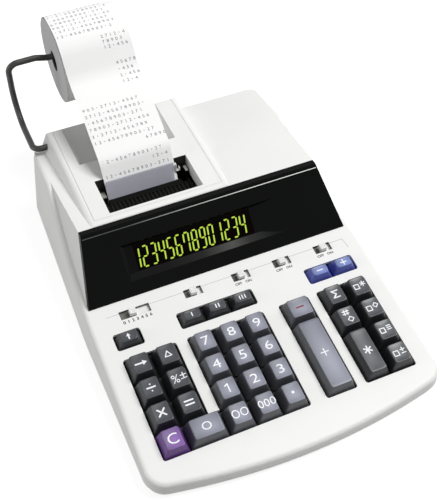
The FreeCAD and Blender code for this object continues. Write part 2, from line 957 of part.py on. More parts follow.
def display_tube():
    back = -bezel_thickness - tube_thickness
    return slope_block(tube_left, tube_right, tube_low, tube_high, back, -bezel_thickness)


def printer_cover():
    skin = rounded_hump(0).common(cover_box(-seam_gap))
    inside = hump_form(wall, 0, hump_base_z - LAP).common(drafted_plan(wall, split_z, CEILING))
    flange = block(
        window_left - window_flange, window_right + window_flange, cover_front_y + seam_gap,
        window_rear_y + window_flange, window_flange_low_z, CEILING,
    ).common(skin)
    feed = recess_tool(-window_flange).common(skin)
    window = block(window_left, window_right, window_front_y, window_rear_y, DEEP, FAR)
    slot_rear = bar_rear_y + feed_slot
    slot = block(ramp_low_left, ramp_low_right, bar_rear_y, slot_rear, DEEP, ramp_low_z + feed_slot)
    return skin.cut(inside).fuse([flange, feed]).cut([window, recess_tool(0), slot]).removeSplitter()


def recess_tool(inset):
    """Wedge of the paper feed recess behind the cross bar."""
    top_y = rear_y - side_draft * (hump_z(rear_y) - split_z)
    ramp_y = bar_rear_y + feed_slot
    fall = (hump_z(top_y) - ramp_low_z) / (top_y - ramp_y)
    side = [
        (bar_rear_y, ramp_low_z - LAP),
        (ramp_y, ramp_low_z - LAP),
        (FAR, ramp_low_z + (FAR - ramp_y) * fall),
        (bar_rear_y, FAR),
    ]
    side, side_radii = offset_outline(side, [0] * 4, [inset, inset, 0, inset])
    rise = CEILING - ramp_low_z
    section = [
        (ramp_low_left + feed_slot * ramp_left_slope, ramp_low_z - feed_slot),
        (ramp_low_right - feed_slot * ramp_right_slope, ramp_low_z - feed_slot),
        (ramp_low_right + rise * ramp_right_slope, CEILING),
        (ramp_low_left - rise * ramp_left_slope, CEILING),
    ]
    section, section_radii = offset_outline(section, [0] * 4, [inset, inset, 0, inset])
    wedge = prism(side, side_radii, in_side, -FAR, 2 * FAR)
    return wedge.common(prism(section, section_radii, in_front, -FAR, 2 * FAR))


def key_frame():
    top = frame_top_w()
    low = top - frame_plate
    plate = deck_block(-frame_half, frame_half, frame_low_v, frame_high_v, low, top, frame_corner)
    spacers = []
    for x, v in frame_posts():
        spacer = rod_z(x, v, board_top_w(), top - frame_plate / 2, frame_post_radius)
        spacers.append(placed(spacer, deck_frame))
    holes = []
    half = stem_size / 2 + stem_clearance
    for key in key_layout():
        x = key["x"]
        for offset in stem_places(key):
            v = key["v"] + offset
            holes.append(deck_block(x - half, x + half, v - half, v + half, low - LAP, top + LAP))
    return plate.fuse(spacers).cut(holes)


def main_board_posts():
    inset = main_board_post_inset
    places = []
    for x in (main_board_left + inset, main_board_left + main_board_width - inset):
        for y in (main_board_front + inset, main_board_front + main_board_depth - inset):
            places.append((x, y))
    return places


def on_board(x, y, width, depth, low, high):
    """Block on the main board, placed from the board's front left corner."""
    left = main_board_left + x
    front = main_board_front + y
    top = main_board_z + board_thickness
    return block(left, left + width, front, front + depth, top + low, top + high)


def circuit_boards():
    edge = frame_half - board_margin
    key_board = deck_block(
        -edge, edge, frame_low_v + board_margin, frame_high_v - board_margin,
        board_top_w() - board_thickness, board_top_w(), board_margin,
    )
    main = on_board(0, 0, main_board_width, main_board_depth, -board_thickness, 0)
    size = transformer_size
    pieces = [
        on_board(transformer_x, transformer_y, size, size, 0, transformer_height),
        on_board(transformer_x + winding_inset, transformer_y - winding_reach, size - 2 * winding_inset,
                 size + 2 * winding_reach, winding_inset, transformer_height - winding_inset),
        on_board(sink_x, sink_y, sink_thickness, sink_depth, 0, sink_height),
        on_board(chip_x, chip_y, chip_width, chip_depth, 0, chip_height),
    ]
    top = main_board_z + board_thickness
    for i in range(can_count):
        x = main_board_left + can_x + can_pitch * i
        pieces.append(rod_z(x, main_board_front + can_y, top, top + can_height, can_radius))
    return Part.makeCompound([key_board, main.fuse(pieces).removeSplitter()])


def switch_slider(x, width, rest):
    throw = decimal_throw if width > switch_slot_width else switch_throw
    half = width / 2 + throw + slider_overlap
    high = -wall - slider_gap
    centre = x + rest
    flange = deck_block(
        centre - half, centre + half, switch_v - switch_slot_depth / 2 - slider_overlap,
        switch_v + switch_slot_depth / 2 + slider_overlap, high - slider_thickness, high,
    )
    knob = deck_block(
        centre - knob_width / 2, centre + knob_width / 2, switch_v - knob_depth / 2,
        switch_v + knob_depth / 2, high - slider_thickness, knob_height, knob_corner,
    )
    return flange.fuse(knob)


def gear(teeth, width, hub_radius):
    """Spur gear about the X axis with straight-flanked teeth."""
    pitch_radius = gear_module * teeth / 2
    tip = pitch_radius + tooth_rise * gear_module
    root = pitch_radius - tooth_fall * gear_module
    step = 2 * math.pi / teeth
    rise = ((root, -tooth_root_share), (tip, -tooth_tip_share))
    corners = rise + ((tip, tooth_tip_share), (root, tooth_root_share))
    points = []
    for i in range(teeth):
        for radius, share in corners:
            turn = (i + share) * step
            points.append((radius * math.cos(turn), radius * math.sin(turn)))
    wheel = prism(points, [0] * len(points), in_side, 0, width)
    return wheel.fuse(rod_x(0, width, 0, 0, hub_radius)).removeSplitter()


def gear_left_x():
    return right_plate_x - gear_width - gear_side_gap


def frame_right_x():
    return right_plate_x + side_plate


def platen_roller():
    y, z = platen_axis()
    rubber = rod_x(paper_left - platen_end_gap, paper_right + platen_end_gap, y, z, platen_radius)
    shaft = rod_x(left_plate_x - shaft_overhang, frame_right_x() + shaft_overhang, y, z, shaft_radius)
    wheel = gear(platen_teeth, gear_width, shaft_radius + LAP)
    wheel.translate(Vector(gear_left_x(), y, z))
    return rubber.fuse([shaft, wheel])


def drive_pinion():
    y, z = pinion_axis()
    wheel = gear(pinion_teeth, gear_width, pinion_shaft_radius + gear_side_gap)
    tooth = 360.0 / pinion_teeth
    platen_phase = (mesh_angle % (360.0 / platen_teeth)) * platen_teeth / pinion_teeth
    wheel.rotate(Vector(0, 0, 0), Vector(1, 0, 0), 180.0 + mesh_angle + tooth / 2 + platen_phase)
    wheel.translate(Vector(gear_left_x(), y, z))
    shaft = rod_x(gear_left_x() - LAP, frame_right_x() + pinion_shaft_reach, y, z, pinion_shaft_radius)
    return wheel.fuse(shaft)


def printer_motor():
    y, z = pinion_axis()
    left = frame_right_x()
    can = rod_x(left, left + motor_length, y, z, motor_radius)
    top = base_plate_z + base_plate_thickness
    foot = block(left, left + motor_length, y - motor_foot_half, y + motor_foot_half, top, z)
    bore = rod_x(left - LAP, left + pinion_shaft_reach + LAP, y, z, pinion_shaft_radius + running_gap)
    return can.fuse(foot).cut(bore).removeSplitter()


def guide_ribs():
    span = frame_right_x() - left_plate_x
    count = int(span / rib_pitch)
    step = span / count
    ribs = []
    for i in range(count):
        x = left_plate_x + (i + 0.5) * step
        ribs.append(block(x - rib_width / 2, x + rib_width / 2, side_plate_front_y, guide_rear_y - guide_seat,
                          guide_top_z - guide_thickness / 2, guide_top_z + rib_height))
    return ribs


def printer_frame():
    top = base_plate_z + base_plate_thickness
    low = top - LAP
    base = block(base_plate_left, base_plate_right, base_plate_front_y, base_plate_rear_y, base_plate_z, top)
    pieces = guide_ribs()
    for x in (left_plate_x, right_plate_x):
        pieces.append(block(x, x + side_plate, side_plate_front_y, side_plate_rear_y, low, guide_top_z - LAP))
    pieces.append(block(left_plate_x, frame_right_x(), side_plate_front_y, guide_rear_y,
                        guide_top_z - guide_thickness, guide_top_z))
    pieces.append(rod_x(left_plate_x, frame_right_x(), guide_rod_y, guide_rod_z, guide_rod_radius))
    for x in (spool_left_x, spool_right_x):
        pieces.append(rod_z(x, spool_y, low, spool_z - soft_gap, 2 * spindle_radius))
        pieces.append(rod_z(x, spool_y, low, spool_z + spool_height + LAP, spindle_radius))
    y, z = platen_axis()
    py, pz = pinion_axis()
    holes = [
        rod_x(left_plate_x - LAP, frame_right_x() + LAP, y, z, shaft_radius + running_gap),
        rod_x(right_plate_x - LAP, frame_right_x() + LAP, py, pz, pinion_shaft_radius + running_gap),
    ]
    return base.fuse(pieces).cut(holes).removeSplitter()


def print_carriage():
    left = carriage_start_x
    right = left + carriage_width
    front = guide_rod_y - carriage_half_depth
    rear = guide_rod_y + carriage_half_depth
    body = block(left, right, front, rear, guide_rod_z - carriage_drop, guide_rod_z + carriage_rise)
    y, z = platen_axis()
    face = y - platen_radius - paper_thickness - head_gap
    head = block(left + head_inset, right - head_inset, guide_rod_y, face, z - head_low, z + head_high)
    bore = rod_x(left - LAP, right + LAP, guide_rod_y, guide_rod_z, guide_rod_radius + running_gap)
    return body.fuse(head).cut(bore).removeSplitter()


def ribbon_spool(x):
    top = spool_z + spool_height
    flanges = [
        rod_z(x, spool_y, spool_z, spool_z + spool_flange, spool_radius),
        rod_z(x, spool_y, top - spool_flange, top, spool_radius),
    ]
    ribbon = rod_z(x, spool_y, spool_z, top, spool_radius - ribbon_inset)
    bore = rod_z(x, spool_y, spool_z - LAP, top + LAP, spindle_radius + running_gap)
    notches = []
    half = notch_width / 2
    for i in range(3):
        notch = block(x - half, x + half, spool_y, spool_y + spindle_radius + notch_reach,
                      top - notch_depth, top + LAP)
        notch.rotate(Vector(x, spool_y, 0), Vector(0, 0, 1), 120.0 * i)
        notches.append(notch)
    return ribbon.fuse(flanges).cut([bore] + notches).removeSplitter()


def tear_bar():
    """Thin plate in front of the tape with a toothed top edge and a foot on the guide."""
    angle = math.radians(tear_angle)
    frame = Placement(Vector(0, tear_line_y, tear_line_z), Rotation(Vector(1, 0, 0), tear_angle))
    near = tear_plate_gap + paper_thickness / 2
    front = near + tear_plate_thickness
    top = (tear_top_z - tear_line_z) / math.sin(angle)
    low = (guide_top_z + tear_foot_clearance - tear_line_z - front * math.cos(angle)) / math.sin(angle)
    count = int((tear_plate_right - tear_plate_left) / tooth_pitch)
    step = (tear_plate_right - tear_plate_left) / count
    points = [(tear_plate_left, low), (tear_plate_right, low)]
    for i in range(count, 0, -1):
        points.append((tear_plate_left + i * step, top - tooth_height))
        points.append((tear_plate_left + (i - 0.5) * step, top))
    points.append((tear_plate_left, top - tooth_height))
    plate = placed(prism(points, [0] * len(points), in_plan, near, tear_plate_thickness), frame)
    heel_y = tear_line_y + low * math.cos(angle) - front * math.sin(angle)
    foot_z = guide_top_z + tear_foot_thickness
    foot = block(
        tear_plate_left, tear_plate_right, guide_rear_y - guide_seat + seam_gap,
        heel_y + tear_foot_thickness / 2, guide_top_z, foot_z,
    )
    return plate.fuse(foot).removeSplitter()


def tape_route():
    """Middle line of the tape seen from the side, with its bend radii."""
    angle = math.radians(tear_angle)
    y, z = platen_axis()
    reach = platen_radius + soft_gap + paper_thickness / 2
    low_z = z - reach
    corner_y = tear_line_y - (tear_line_z - low_z) / math.tan(angle)
    bend_y = tear_line_y + (tape_bend_z - tear_line_z) / math.tan(angle)
    over = roll_z + roll_radius + soft_gap + paper_thickness
    points = [
        (y + tape_tail_y, low_z + tape_tail_z), (y + tape_lead_y, low_z),
        (corner_y, low_z), (bend_y, tape_bend_z), tape_sag_point, tape_climb_point,
        (roll_y - tape_touch_y, over + soft_gap), (roll_y + tape_over_y, over + 2 * soft_gap),
        (roll_y + tape_end_y, roll_z + tape_end_z),
    ]
    radii = [0, tape_tail_radius, reach, tape_bend_radius, tape_sag_radius, tape_climb_radius,
             tape_touch_radius, tape_over_radius, 0]
    return points, radii


def side_of_route(points, radii, side):
    """The route moved to its left by side, with the radii that keep it parallel."""
    normals = []
    for (ax, ay), (bx, by) in zip(points, points[1:]):
        length = math.hypot(bx - ax, by - ay)
        normals.append((-(by - ay) / length, (bx - ax) / length))
    moved = []
    fitted = []
    for i, (x, y) in enumerate(points):
        before = normals[max(i - 1, 0)]
        after = normals[min(i, len(normals) - 1)]
        share = side / (1 + before[0] * after[0] + before[1] * after[1])
        moved.append((x + (before[0] + after[0]) * share, y + (before[1] + after[1]) * share))
        left_turn = before[0] * after[1] - before[1] * after[0] > 0
        change = -side if left_turn else side
        fitted.append(radii[i] + change if radii[i] > 0 else 0)
    return moved, fitted


def paper_tape():
    points, radii = tape_route()
    half = paper_thickness / 2
    near, near_radii = side_of_route(points, radii, -half)
    far, far_radii = side_of_route(points, radii, half)
    outline = near + far[::-1]
    return prism(outline, near_radii + far_radii[::-1], in_side, paper_left, paper_right - paper_left)


def paper_roll():
    roll = rod_x(roll_left, roll_right, roll_y, roll_z, roll_radius)
    bore = rod_x(roll_left - 1, roll_right + 1, roll_y, roll_z, core_radius)
    return roll.cut(bore)


def round_route(points, radii):
    """Wire of straight runs and tangent arcs through points in space."""
    edges = []
    previous = points[0]
    for i in range(1, len(points) - 1):
        here = points[i]
        back = (points[i - 1] - here).normalize()
        ahead = (points[i + 1] - here).normalize()
        inside = back.getAngle(ahead)
        tangent = radii[i] / math.tan(inside / 2)
        start = here + back * tangent
        end = here + ahead * tangent
        middle = here + (back + ahead).normalize() * (radii[i] / math.sin(inside / 2) - radii[i])
        if (start - previous).Length > 1e-6:
            edges.append(Part.LineSegment(previous, start).toShape())
        edges.append(Part.Arc(start, middle, end).toShape())
        previous = end
    edges.append(Part.LineSegment(previous, points[-1]).toShape())
    return Part.Wire(edges)


def paper_arm():
    rest_z = roll_z + core_radius - arm_radius - soft_gap
    high_z = rest_z + arm_jog_rise
    points = [
        Vector(arm_inner_end_x, arm_axis_y, arm_axis_z),
        Vector(arm_side_x, arm_axis_y, arm_axis_z),
        Vector(arm_side_x, arm_heel_y, arm_heel_z),
        Vector(arm_side_x, roll_y - arm_lean, high_z),
        Vector(arm_jog_start_x, roll_y, high_z),
        Vector(arm_jog_end_x, roll_y, rest_z),
        Vector(arm_end_x, roll_y, rest_z),
    ]
    radii = [0, arm_elbow_radius, arm_heel_radius, arm_shoulder_radius, arm_jog_radius, arm_jog_radius, 0]
    route = round_route(points, radii)
    section = Part.Wire(Part.Circle(points[0], Vector(1, 0, 0), arm_radius).toShape())
    return route.makePipeShell([section], True, False)


def write(name, shape):
    if shape.isNull() or not shape.isValid():
        raise ValueError("bad shape " + name)
    shape.translate(Vector(0, -whole_middle_y(), 0))
    shape.exportStep("parts/" + name + ".step")
    print(name, len(shape.Solids), round(shape.Volume, 1))


def main():
    write("upper_case", upper_case())
    write("lower_case", lower_case())
    write("case_screws", case_screws())
    write("rubber_feet", rubber_feet())
    write("display_bezel", display_bezel())
    write("display_tube", display_tube())
    write("printer_cover", printer_cover())
    write("key_frame", key_frame())
    write("circuit_boards", circuit_boards())
    write("platen_roller", platen_roller())
    write("drive_pinion", drive_pinion())
    write("printer_motor", printer_motor())
    write("printer_frame", printer_frame())
    write("print_carriage", print_carriage())
    write("ribbon_spool_left", ribbon_spool(spool_left_x))
    write("ribbon_spool_right", ribbon_spool(spool_right_x))
    write("tear_bar", tear_bar())
    write("paper_tape", paper_tape())
    write("paper_roll", paper_roll())
    write("paper_arm", paper_arm())
    for name, x, width, rest in switch_layout():
        write(name, switch_slider(x, width, rest))
    for key in key_layout():
        write(key["name"], key_cap(key))


main()
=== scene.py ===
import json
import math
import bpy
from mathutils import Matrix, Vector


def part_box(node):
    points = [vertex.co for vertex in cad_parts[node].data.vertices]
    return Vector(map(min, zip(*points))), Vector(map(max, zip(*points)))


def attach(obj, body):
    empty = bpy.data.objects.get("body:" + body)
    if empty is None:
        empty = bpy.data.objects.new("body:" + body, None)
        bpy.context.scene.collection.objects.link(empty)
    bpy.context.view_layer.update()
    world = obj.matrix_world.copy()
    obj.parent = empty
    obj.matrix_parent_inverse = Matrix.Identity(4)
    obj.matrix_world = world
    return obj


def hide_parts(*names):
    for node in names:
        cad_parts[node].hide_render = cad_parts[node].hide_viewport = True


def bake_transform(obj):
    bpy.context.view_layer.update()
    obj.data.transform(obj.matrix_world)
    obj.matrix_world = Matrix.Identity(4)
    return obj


bl_info = {
    "name": "Printing Calculator Looks",
    "version": (1, 0, 0),
    "blender": (4, 5, 0),
    "location": "View3D > Sidebar > Calculator",
    "description": "Dresses the packed desktop printing calculator: case, keys, display, printer and paper",
    "category": "Object",
}

import bmesh
import bpy
from bpy.props import FloatProperty, FloatVectorProperty, IntProperty, PointerProperty
from mathutils import Matrix, Vector

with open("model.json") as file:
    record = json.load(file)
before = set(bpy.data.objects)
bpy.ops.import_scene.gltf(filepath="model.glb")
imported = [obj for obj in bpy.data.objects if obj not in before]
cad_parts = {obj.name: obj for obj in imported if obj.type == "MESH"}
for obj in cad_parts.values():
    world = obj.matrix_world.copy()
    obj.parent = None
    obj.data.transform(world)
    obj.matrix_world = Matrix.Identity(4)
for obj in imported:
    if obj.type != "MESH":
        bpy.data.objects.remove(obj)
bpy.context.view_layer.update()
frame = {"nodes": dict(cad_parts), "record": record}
RECORD = frame["record"]
BODY_OF = {node: body for body, nodes in RECORD["behaviour"]["bodies"].items() for node in nodes}
SLOT_OF = {part["node"]: part["material_slot"] for part in RECORD["subparts"]}

MM = 0.001
ROLL_LOW, ROLL_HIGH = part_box("paper_roll")
ROLL_RADIUS = (ROLL_HIGH.z - ROLL_LOW.z) / 2
ROLL_CENTRE = (ROLL_LOW + ROLL_HIGH) / 2
CASE_Y = ROLL_CENTRE.y - 192.0 * MM
DECK_ANGLE = math.radians(8.0)
SLOPE_ANGLE = math.atan2(78.6 - 38.8, 29.9 + 5.3)


def at(x, y, z):
    """A point given in millimetres from the middle of the case."""
    return Vector((x * MM, y * MM + CASE_Y, z * MM))


def plane(x, y, z, angle):
    """A plane tilted about X, with its zero at a point of the case."""
    return Matrix.Translation(at(x, y, z)) @ Matrix.Rotation(angle, 4, "X")


DECK = plane(0, -156.5, 16.0, DECK_ANGLE)
SLOPE = plane(0, -5.3, 38.8, SLOPE_ANGLE)
SLOPE_UP = SLOPE.to_3x3() @ Vector((0, 1, 0))
SLOPE_OUT = SLOPE.to_3x3() @ Vector((0, 0, 1))


class CaseLooks(bpy.types.PropertyGroup):
    """Colours and grain of the moulded case."""

    shell: FloatVectorProperty(name="Shell", description="Off-white moulding", subtype="COLOR",
                               size=3, min=0, max=1, default=(0.80, 0.80, 0.785))
    grain: FloatProperty(name="Grain", description="Depth of the moulded texture", subtype="DISTANCE",
                         default=0.000012, min=0, max=0.0005, precision=6)
    edge: FloatProperty(name="Edge radius", description="Roundness of small moulded edges",
                        subtype="DISTANCE", default=0.00035, min=0, max=0.002, precision=5)


class KeyLooks(bpy.types.PropertyGroup):
    """Sizes and colours of the keys."""

    dish: FloatProperty(name="Dish", description="Depth of the hollow in a key top", subtype="DISTANCE",
                        default=0.00045, min=0, max=0.002, precision=5)
    round: FloatProperty(name="Edge radius", description="Rounding between top and sides",
                         subtype="DISTANCE", default=0.0005, min=0, max=0.002, precision=5)
    legend: FloatProperty(name="Legend height", description="How far a legend stands out",
                          subtype="DISTANCE", default=0.00005, min=0, max=0.0005, precision=6)
    steps: IntProperty(name="Steps", description="Points along each side of a key", default=7, min=2, max=12)
    # Each top and side colour pair below is one plastic: the darker side colour is painted shade.
    number_top: FloatVectorProperty(name="Number key top", description="Top of the number keys",
                                    subtype="COLOR", size=3, min=0, max=1, default=(0.29, 0.30, 0.37))
    number_side: FloatVectorProperty(name="Number key side", description="Sides of the number keys",
                                     subtype="COLOR", size=3, min=0, max=1, default=(0.085, 0.088, 0.10))
    dark_top: FloatVectorProperty(name="Function key top", description="Top of the charcoal keys",
                                  subtype="COLOR", size=3, min=0, max=1, default=(0.052, 0.056, 0.068))
    dark_side: FloatVectorProperty(name="Function key side", description="Sides of the charcoal keys",
                                   subtype="COLOR", size=3, min=0, max=1, default=(0.022, 0.023, 0.027))
    blue_top: FloatVectorProperty(name="Blue key top", description="Top of the blue keys",
                                  subtype="COLOR", size=3, min=0, max=1, default=(0.20, 0.27, 0.60))
    blue_side: FloatVectorProperty(name="Blue key side", description="Sides of the blue keys",
                                   subtype="COLOR", size=3, min=0, max=1, default=(0.070, 0.090, 0.40))
    purple_top: FloatVectorProperty(name="Purple key top", description="Top of the clear key",
                                    subtype="COLOR", size=3, min=0, max=1, default=(0.26, 0.13, 0.42))
    purple_side: FloatVectorProperty(name="Purple key side", description="Sides of the clear key",
                                     subtype="COLOR", size=3, min=0, max=1, default=(0.125, 0.045, 0.23))


class DisplayLooks(bpy.types.PropertyGroup):
    """Display digits and their window."""

    digit: FloatVectorProperty(name="Digit", description="Light of the digits", subtype="COLOR",
                               size=3, min=0, max=1, default=(0.46, 0.66, 0.035))
    height: FloatProperty(name="Digit height", description="Height of a digit", subtype="DISTANCE",
                          default=0.0150, min=0.005, max=0.03)
    width: FloatProperty(name="Digit width", description="Width of a digit", subtype="DISTANCE",
                         default=0.0038, min=0.001, max=0.02, precision=5)
    stroke: FloatProperty(name="Digit stroke", description="Width of a bar", subtype="DISTANCE",
                          default=0.0011, min=0.0001, max=0.005, precision=5)
    pitch: FloatProperty(name="Digit pitch", description="Step from digit to digit", subtype="DISTANCE",
                         default=0.00656, min=0.003, max=0.02, precision=5)
    slant: FloatProperty(name="Slant", description="Lean of the digits", subtype="ANGLE",
                         default=math.radians(6), min=0, max=0.6)


class PaperLooks(bpy.types.PropertyGroup):
    """Paper tape, roll and print."""

    paper: FloatVectorProperty(name="Paper", description="Adding machine paper", subtype="COLOR",
                               size=3, min=0, max=1, default=(0.92, 0.92, 0.915))
    ink: FloatVectorProperty(name="Ink", description="Printed figures", subtype="COLOR",
                             size=3, min=0, max=1, default=(0.16, 0.13, 0.17))
    thickness: FloatProperty(name="Tape thickness", description="Thickness of the tape", subtype="DISTANCE",
                             default=0.00022, min=0.00005, max=0.001, precision=5)
    layers: IntProperty(name="Layers", description="Winding lines shown on a roll end", default=14,
                        min=2, max=40)


class StageLooks(bpy.types.PropertyGroup):
    """Camera, floor and lamps."""

    focal: FloatProperty(name="Focal length", description="Lens for a 36 mm long side", unit="CAMERA",
                         default=66.6, min=10, max=400)
    lamp: FloatProperty(name="Lamp", description="Power of the main lamp", unit="POWER",
                        default=79.0, min=0, max=500)
    side_lamp: FloatProperty(name="Side lamp", description="Power of the lamp on the left", unit="POWER",
                             default=20.0, min=0, max=500)
    sky: FloatProperty(name="Sky", description="Strength of the even light", default=0.29, min=0, max=4)


def props(name):
    return getattr(bpy.context.scene, "calculator_" + name)


# Pieces


def link(name, data):
    piece = bpy.data.objects.new(name, data)
    bpy.context.scene.collection.objects.link(piece)
    return piece


def mesh_piece(name, points, faces, *materials):
    mesh = bpy.data.meshes.new(name)
    mesh.from_pydata([tuple(p) for p in points], [], faces)
    for material in materials:
        mesh.materials.append(material)
    mesh.update()
    return link(name, mesh)


def worked_piece(name, work, *materials):
    """A piece from a mesh that was worked on, which is then let go."""
    mesh = bpy.data.meshes.new(name)
    work.to_mesh(mesh)
    work.free()
    for material in materials:
        mesh.materials.append(material)
    return link(name, mesh)


def plain_mesh(piece):
    """What a piece looks like with its modifiers, as a new mesh."""
    bpy.context.view_layer.update()
    graph = bpy.context.evaluated_depsgraph_get()
    return bpy.data.meshes.new_from_object(piece.evaluated_get(graph), depsgraph=graph)


def baked(piece):
    """Apply the modifiers of a piece and leave it a plain mesh."""
    mesh = plain_mesh(piece)
    piece.modifiers.clear()
    piece.data = mesh
    return piece


def seat(piece, body, *nodes, slot=None):
    """Let a piece ride on a body and stand for CAD nodes. Its slot is not used."""
    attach(piece, body)
    if nodes:
        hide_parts(*nodes)
    return piece


def crease_edges(work, angle):
    """Keep the edges sharp that bend more than an angle in degrees."""
    for edge in work.edges:
        edge.smooth = len(edge.link_faces) == 2 and edge.calc_face_angle(0) < math.radians(angle)


def dressed(node, name, *materials, crease=34.0, cut=None):
    """A merged, smooth-shaded copy of a CAD node that stands for it, with its faces parted at one X."""
    work = bmesh.new()
    work.from_mesh(frame["nodes"][node].data)
    bmesh.ops.remove_doubles(work, verts=work.verts, dist=0.000002)
    bmesh.ops.dissolve_limit(work, angle_limit=math.radians(0.4), verts=work.verts, edges=work.edges)
    if cut is not None:
        everything = work.verts[:] + work.edges[:] + work.faces[:]
        bmesh.ops.bisect_plane(work, geom=everything, plane_co=(cut, 0, 0), plane_no=(1, 0, 0))
    crease_edges(work, crease)
    for face in work.faces:
        face.smooth = True
        face.material_index = 0
    piece = worked_piece(name, work, *materials)
    weights = piece.modifiers.new("weights", "WEIGHTED_NORMAL")
    weights.keep_sharp = True
    weights.weight = 100
    return seat(baked(piece), BODY_OF[node], node)


def paint(piece, material, chosen):
    """Give one more material to the faces that a test picks by their middle and direction."""
    piece.data.materials.append(material)
    for polygon in piece.data.polygons:
        if chosen(polygon.center, polygon.normal):
            polygon.material_index = len(piece.data.materials) - 1


# Shader effects

SPECULAR = "Specular IOR Level"


def feed(tree, target, inputs):
    """Set a node's inputs, given by name or number, to values or to sockets that feed them."""
    for name, value in inputs.items():
        if isinstance(value, bpy.types.NodeSocket):
            tree.links.new(value, target.inputs[name])
        else:
            target.inputs[name].default_value = value


def add(tree, kind, inputs=None, **settings):
    """A new node with its settings and its inputs."""
    made = tree.nodes.new(kind)
    for name, value in settings.items():
        setattr(made, name, value)
    feed(tree, made, inputs or {})
    return made


def node_group(name, kind, inputs, outputs, fill):
    """A node group with named sockets; fill(tree, entry) builds a new one and gives its outputs."""
    tree = bpy.data.node_groups.get(name)
    if tree:
        return tree
    tree = bpy.data.node_groups.new(name, kind)
    for in_out, sockets in (("INPUT", inputs), ("OUTPUT", outputs)):
        for label, socket in sockets.items():
            tree.interface.new_socket(name=label, in_out=in_out, socket_type="NodeSocket" + socket)
    entry = tree.nodes.new("NodeGroupInput")
    add(tree, "NodeGroupOutput", fill(tree, entry.outputs))
    return tree


def fill_grain(tree, entry):
    """Moulded plastic: a fine even grain, slow changes of tone and of gloss."""
    fine = add(tree, "ShaderNodeTexNoise",
               {"Vector": entry["Vector"], "Scale": entry["Fineness"], "Detail": 1.5})
    slow = add(tree, "ShaderNodeTexNoise", {"Vector": entry["Vector"], "Scale": 14.0, "Detail": 3.0})
    darker = add(tree, "ShaderNodeMapRange", {"Value": slow.outputs["Fac"], "From Min": 0.3,
                                              "From Max": 0.7, "To Max": entry["Tone"]})
    tone = mix_colors(tree, darker.outputs["Result"], entry["Color"], (0.0, 0.0, 0.0, 1), "MULTIPLY")
    gloss = add(tree, "ShaderNodeMath", {0: fine.outputs["Fac"], 1: 0.08, 2: entry["Gloss"]},
                operation="MULTIPLY_ADD")
    return {"Color": tone, "Roughness": gloss.outputs["Value"], "Height": fine.outputs["Fac"]}


def fill_rings(tree, entry):
    """Fine lines round the X axis through the roll, as the layers of wound paper show."""
    flat = add(tree, "ShaderNodeVectorMath", {0: entry["Vector"], 1: (0, 1, 1)}, operation="MULTIPLY")
    away = add(tree, "ShaderNodeVectorMath", {0: flat.outputs["Vector"]}, operation="LENGTH")
    turns = add(tree, "ShaderNodeMath", {0: away.outputs["Value"], 1: entry["Lines"]}, operation="MULTIPLY")
    wave = add(tree, "ShaderNodeMath", {0: turns.outputs["Value"]}, operation="SINE")
    wobble = add(tree, "ShaderNodeTexNoise", {"W": turns.outputs["Value"], "Scale": 1.0},
                 noise_dimensions="1D")
    both = add(tree, "ShaderNodeMath", {0: wave.outputs["Value"], 1: wobble.outputs["Fac"]}, operation="ADD")
    return {"Height": both.outputs["Value"]}


def mix_colors(tree, share, first, second, way="MIX"):
    return add(tree, "ShaderNodeMix", {"Factor": share, "A": first, "B": second}, data_type="RGBA",
               blend_type=way).outputs["Result"]


def ramp(tree, share, stops):
    """Colours along a share from nought to one, from stops given as places and colours."""
    made = add(tree, "ShaderNodeValToRGB", {"Fac": share})
    marks = made.color_ramp.elements
    for mark, (place, color) in zip((marks[0], marks[1]), (stops[0], stops[-1])):
        mark.position = place
        mark.color = (*color, 1)
    for place, color in stops[1:-1]:
        marks.new(place).color = (*color, 1)
    return made.outputs["Color"]


def share_along_x(tree, left, right):
    """Nought to one between two places across the machine, in millimetres."""
    place = add(tree, "ShaderNodeTexCoord")
    apart = add(tree, "ShaderNodeSeparateXYZ", {"Vector": place.outputs["Object"]})
    share = add(tree, "ShaderNodeMapRange", {"Value": apart.outputs["X"], "From Min": left * MM,
                                             "From Max": right * MM})
    return share.outputs["Result"]


def new_material(name):
    material = bpy.data.materials.new(name)
    material.use_nodes = True
    return material, material.node_tree, material.node_tree.nodes["Principled BSDF"]


def plastic(name, color, tone=0.03, gloss=0.42, fineness=2500.0, depth=0.000008, edge=0.0003, **others):
    """A grained material, made once. Others are inputs of its shader, with _ for a space."""
    material = bpy.data.materials.get(name)
    if material:
        return material
    material, tree, shader = new_material(name)
    place = add(tree, "ShaderNodeTexCoord", name="place")
    group = node_group("moulded_grain", "ShaderNodeTree",
                       {"Vector": "Vector", "Color": "Color", "Tone": "Float", "Gloss": "Float",
                        "Fineness": "Float"},
                       {"Color": "Color", "Roughness": "Float", "Height": "Float"}, fill_grain)
    grain = add(tree, "ShaderNodeGroup",
                {"Vector": place.outputs["Object"], "Color": (*color, 1), "Tone": tone, "Gloss": gloss,
                 "Fineness": fineness}, name="grain", node_tree=group)
    bump = add(tree, "ShaderNodeBump", {"Strength": 1.0, "Distance": depth,
                                        "Height": grain.outputs["Height"]}, name="bump")
    feed(tree, shader, {"Base Color": grain.outputs["Color"], "Roughness": grain.outputs["Roughness"],
                        "Normal": bump.outputs["Normal"]})
    if edge > 0:
        soften = add(tree, "ShaderNodeBevel", {"Radius": edge}, samples=6)
        feed(tree, bump, {"Normal": soften.outputs["Normal"]})
    feed(tree, shader, {key.replace("_", " "): value for key, value in others.items()})
    return material


def shell_plastic():
    looks = props("case")
    return plastic("case_moulding", looks.shell, 0.035, 0.46, 1900.0, looks.grain, looks.edge)


# Painted shade for the walls and floors of the switch slots and the switch plate beside the knob.
def slot_plastic():
    return plastic("switch_slot_painted_shade", (0.15, 0.15, 0.135), 0.1, 0.6)


def metal(name, color, roughness):
    return plastic(name, color, 0.12, roughness, 900.0, 0.000004, 0.0001, Metallic=1.0)


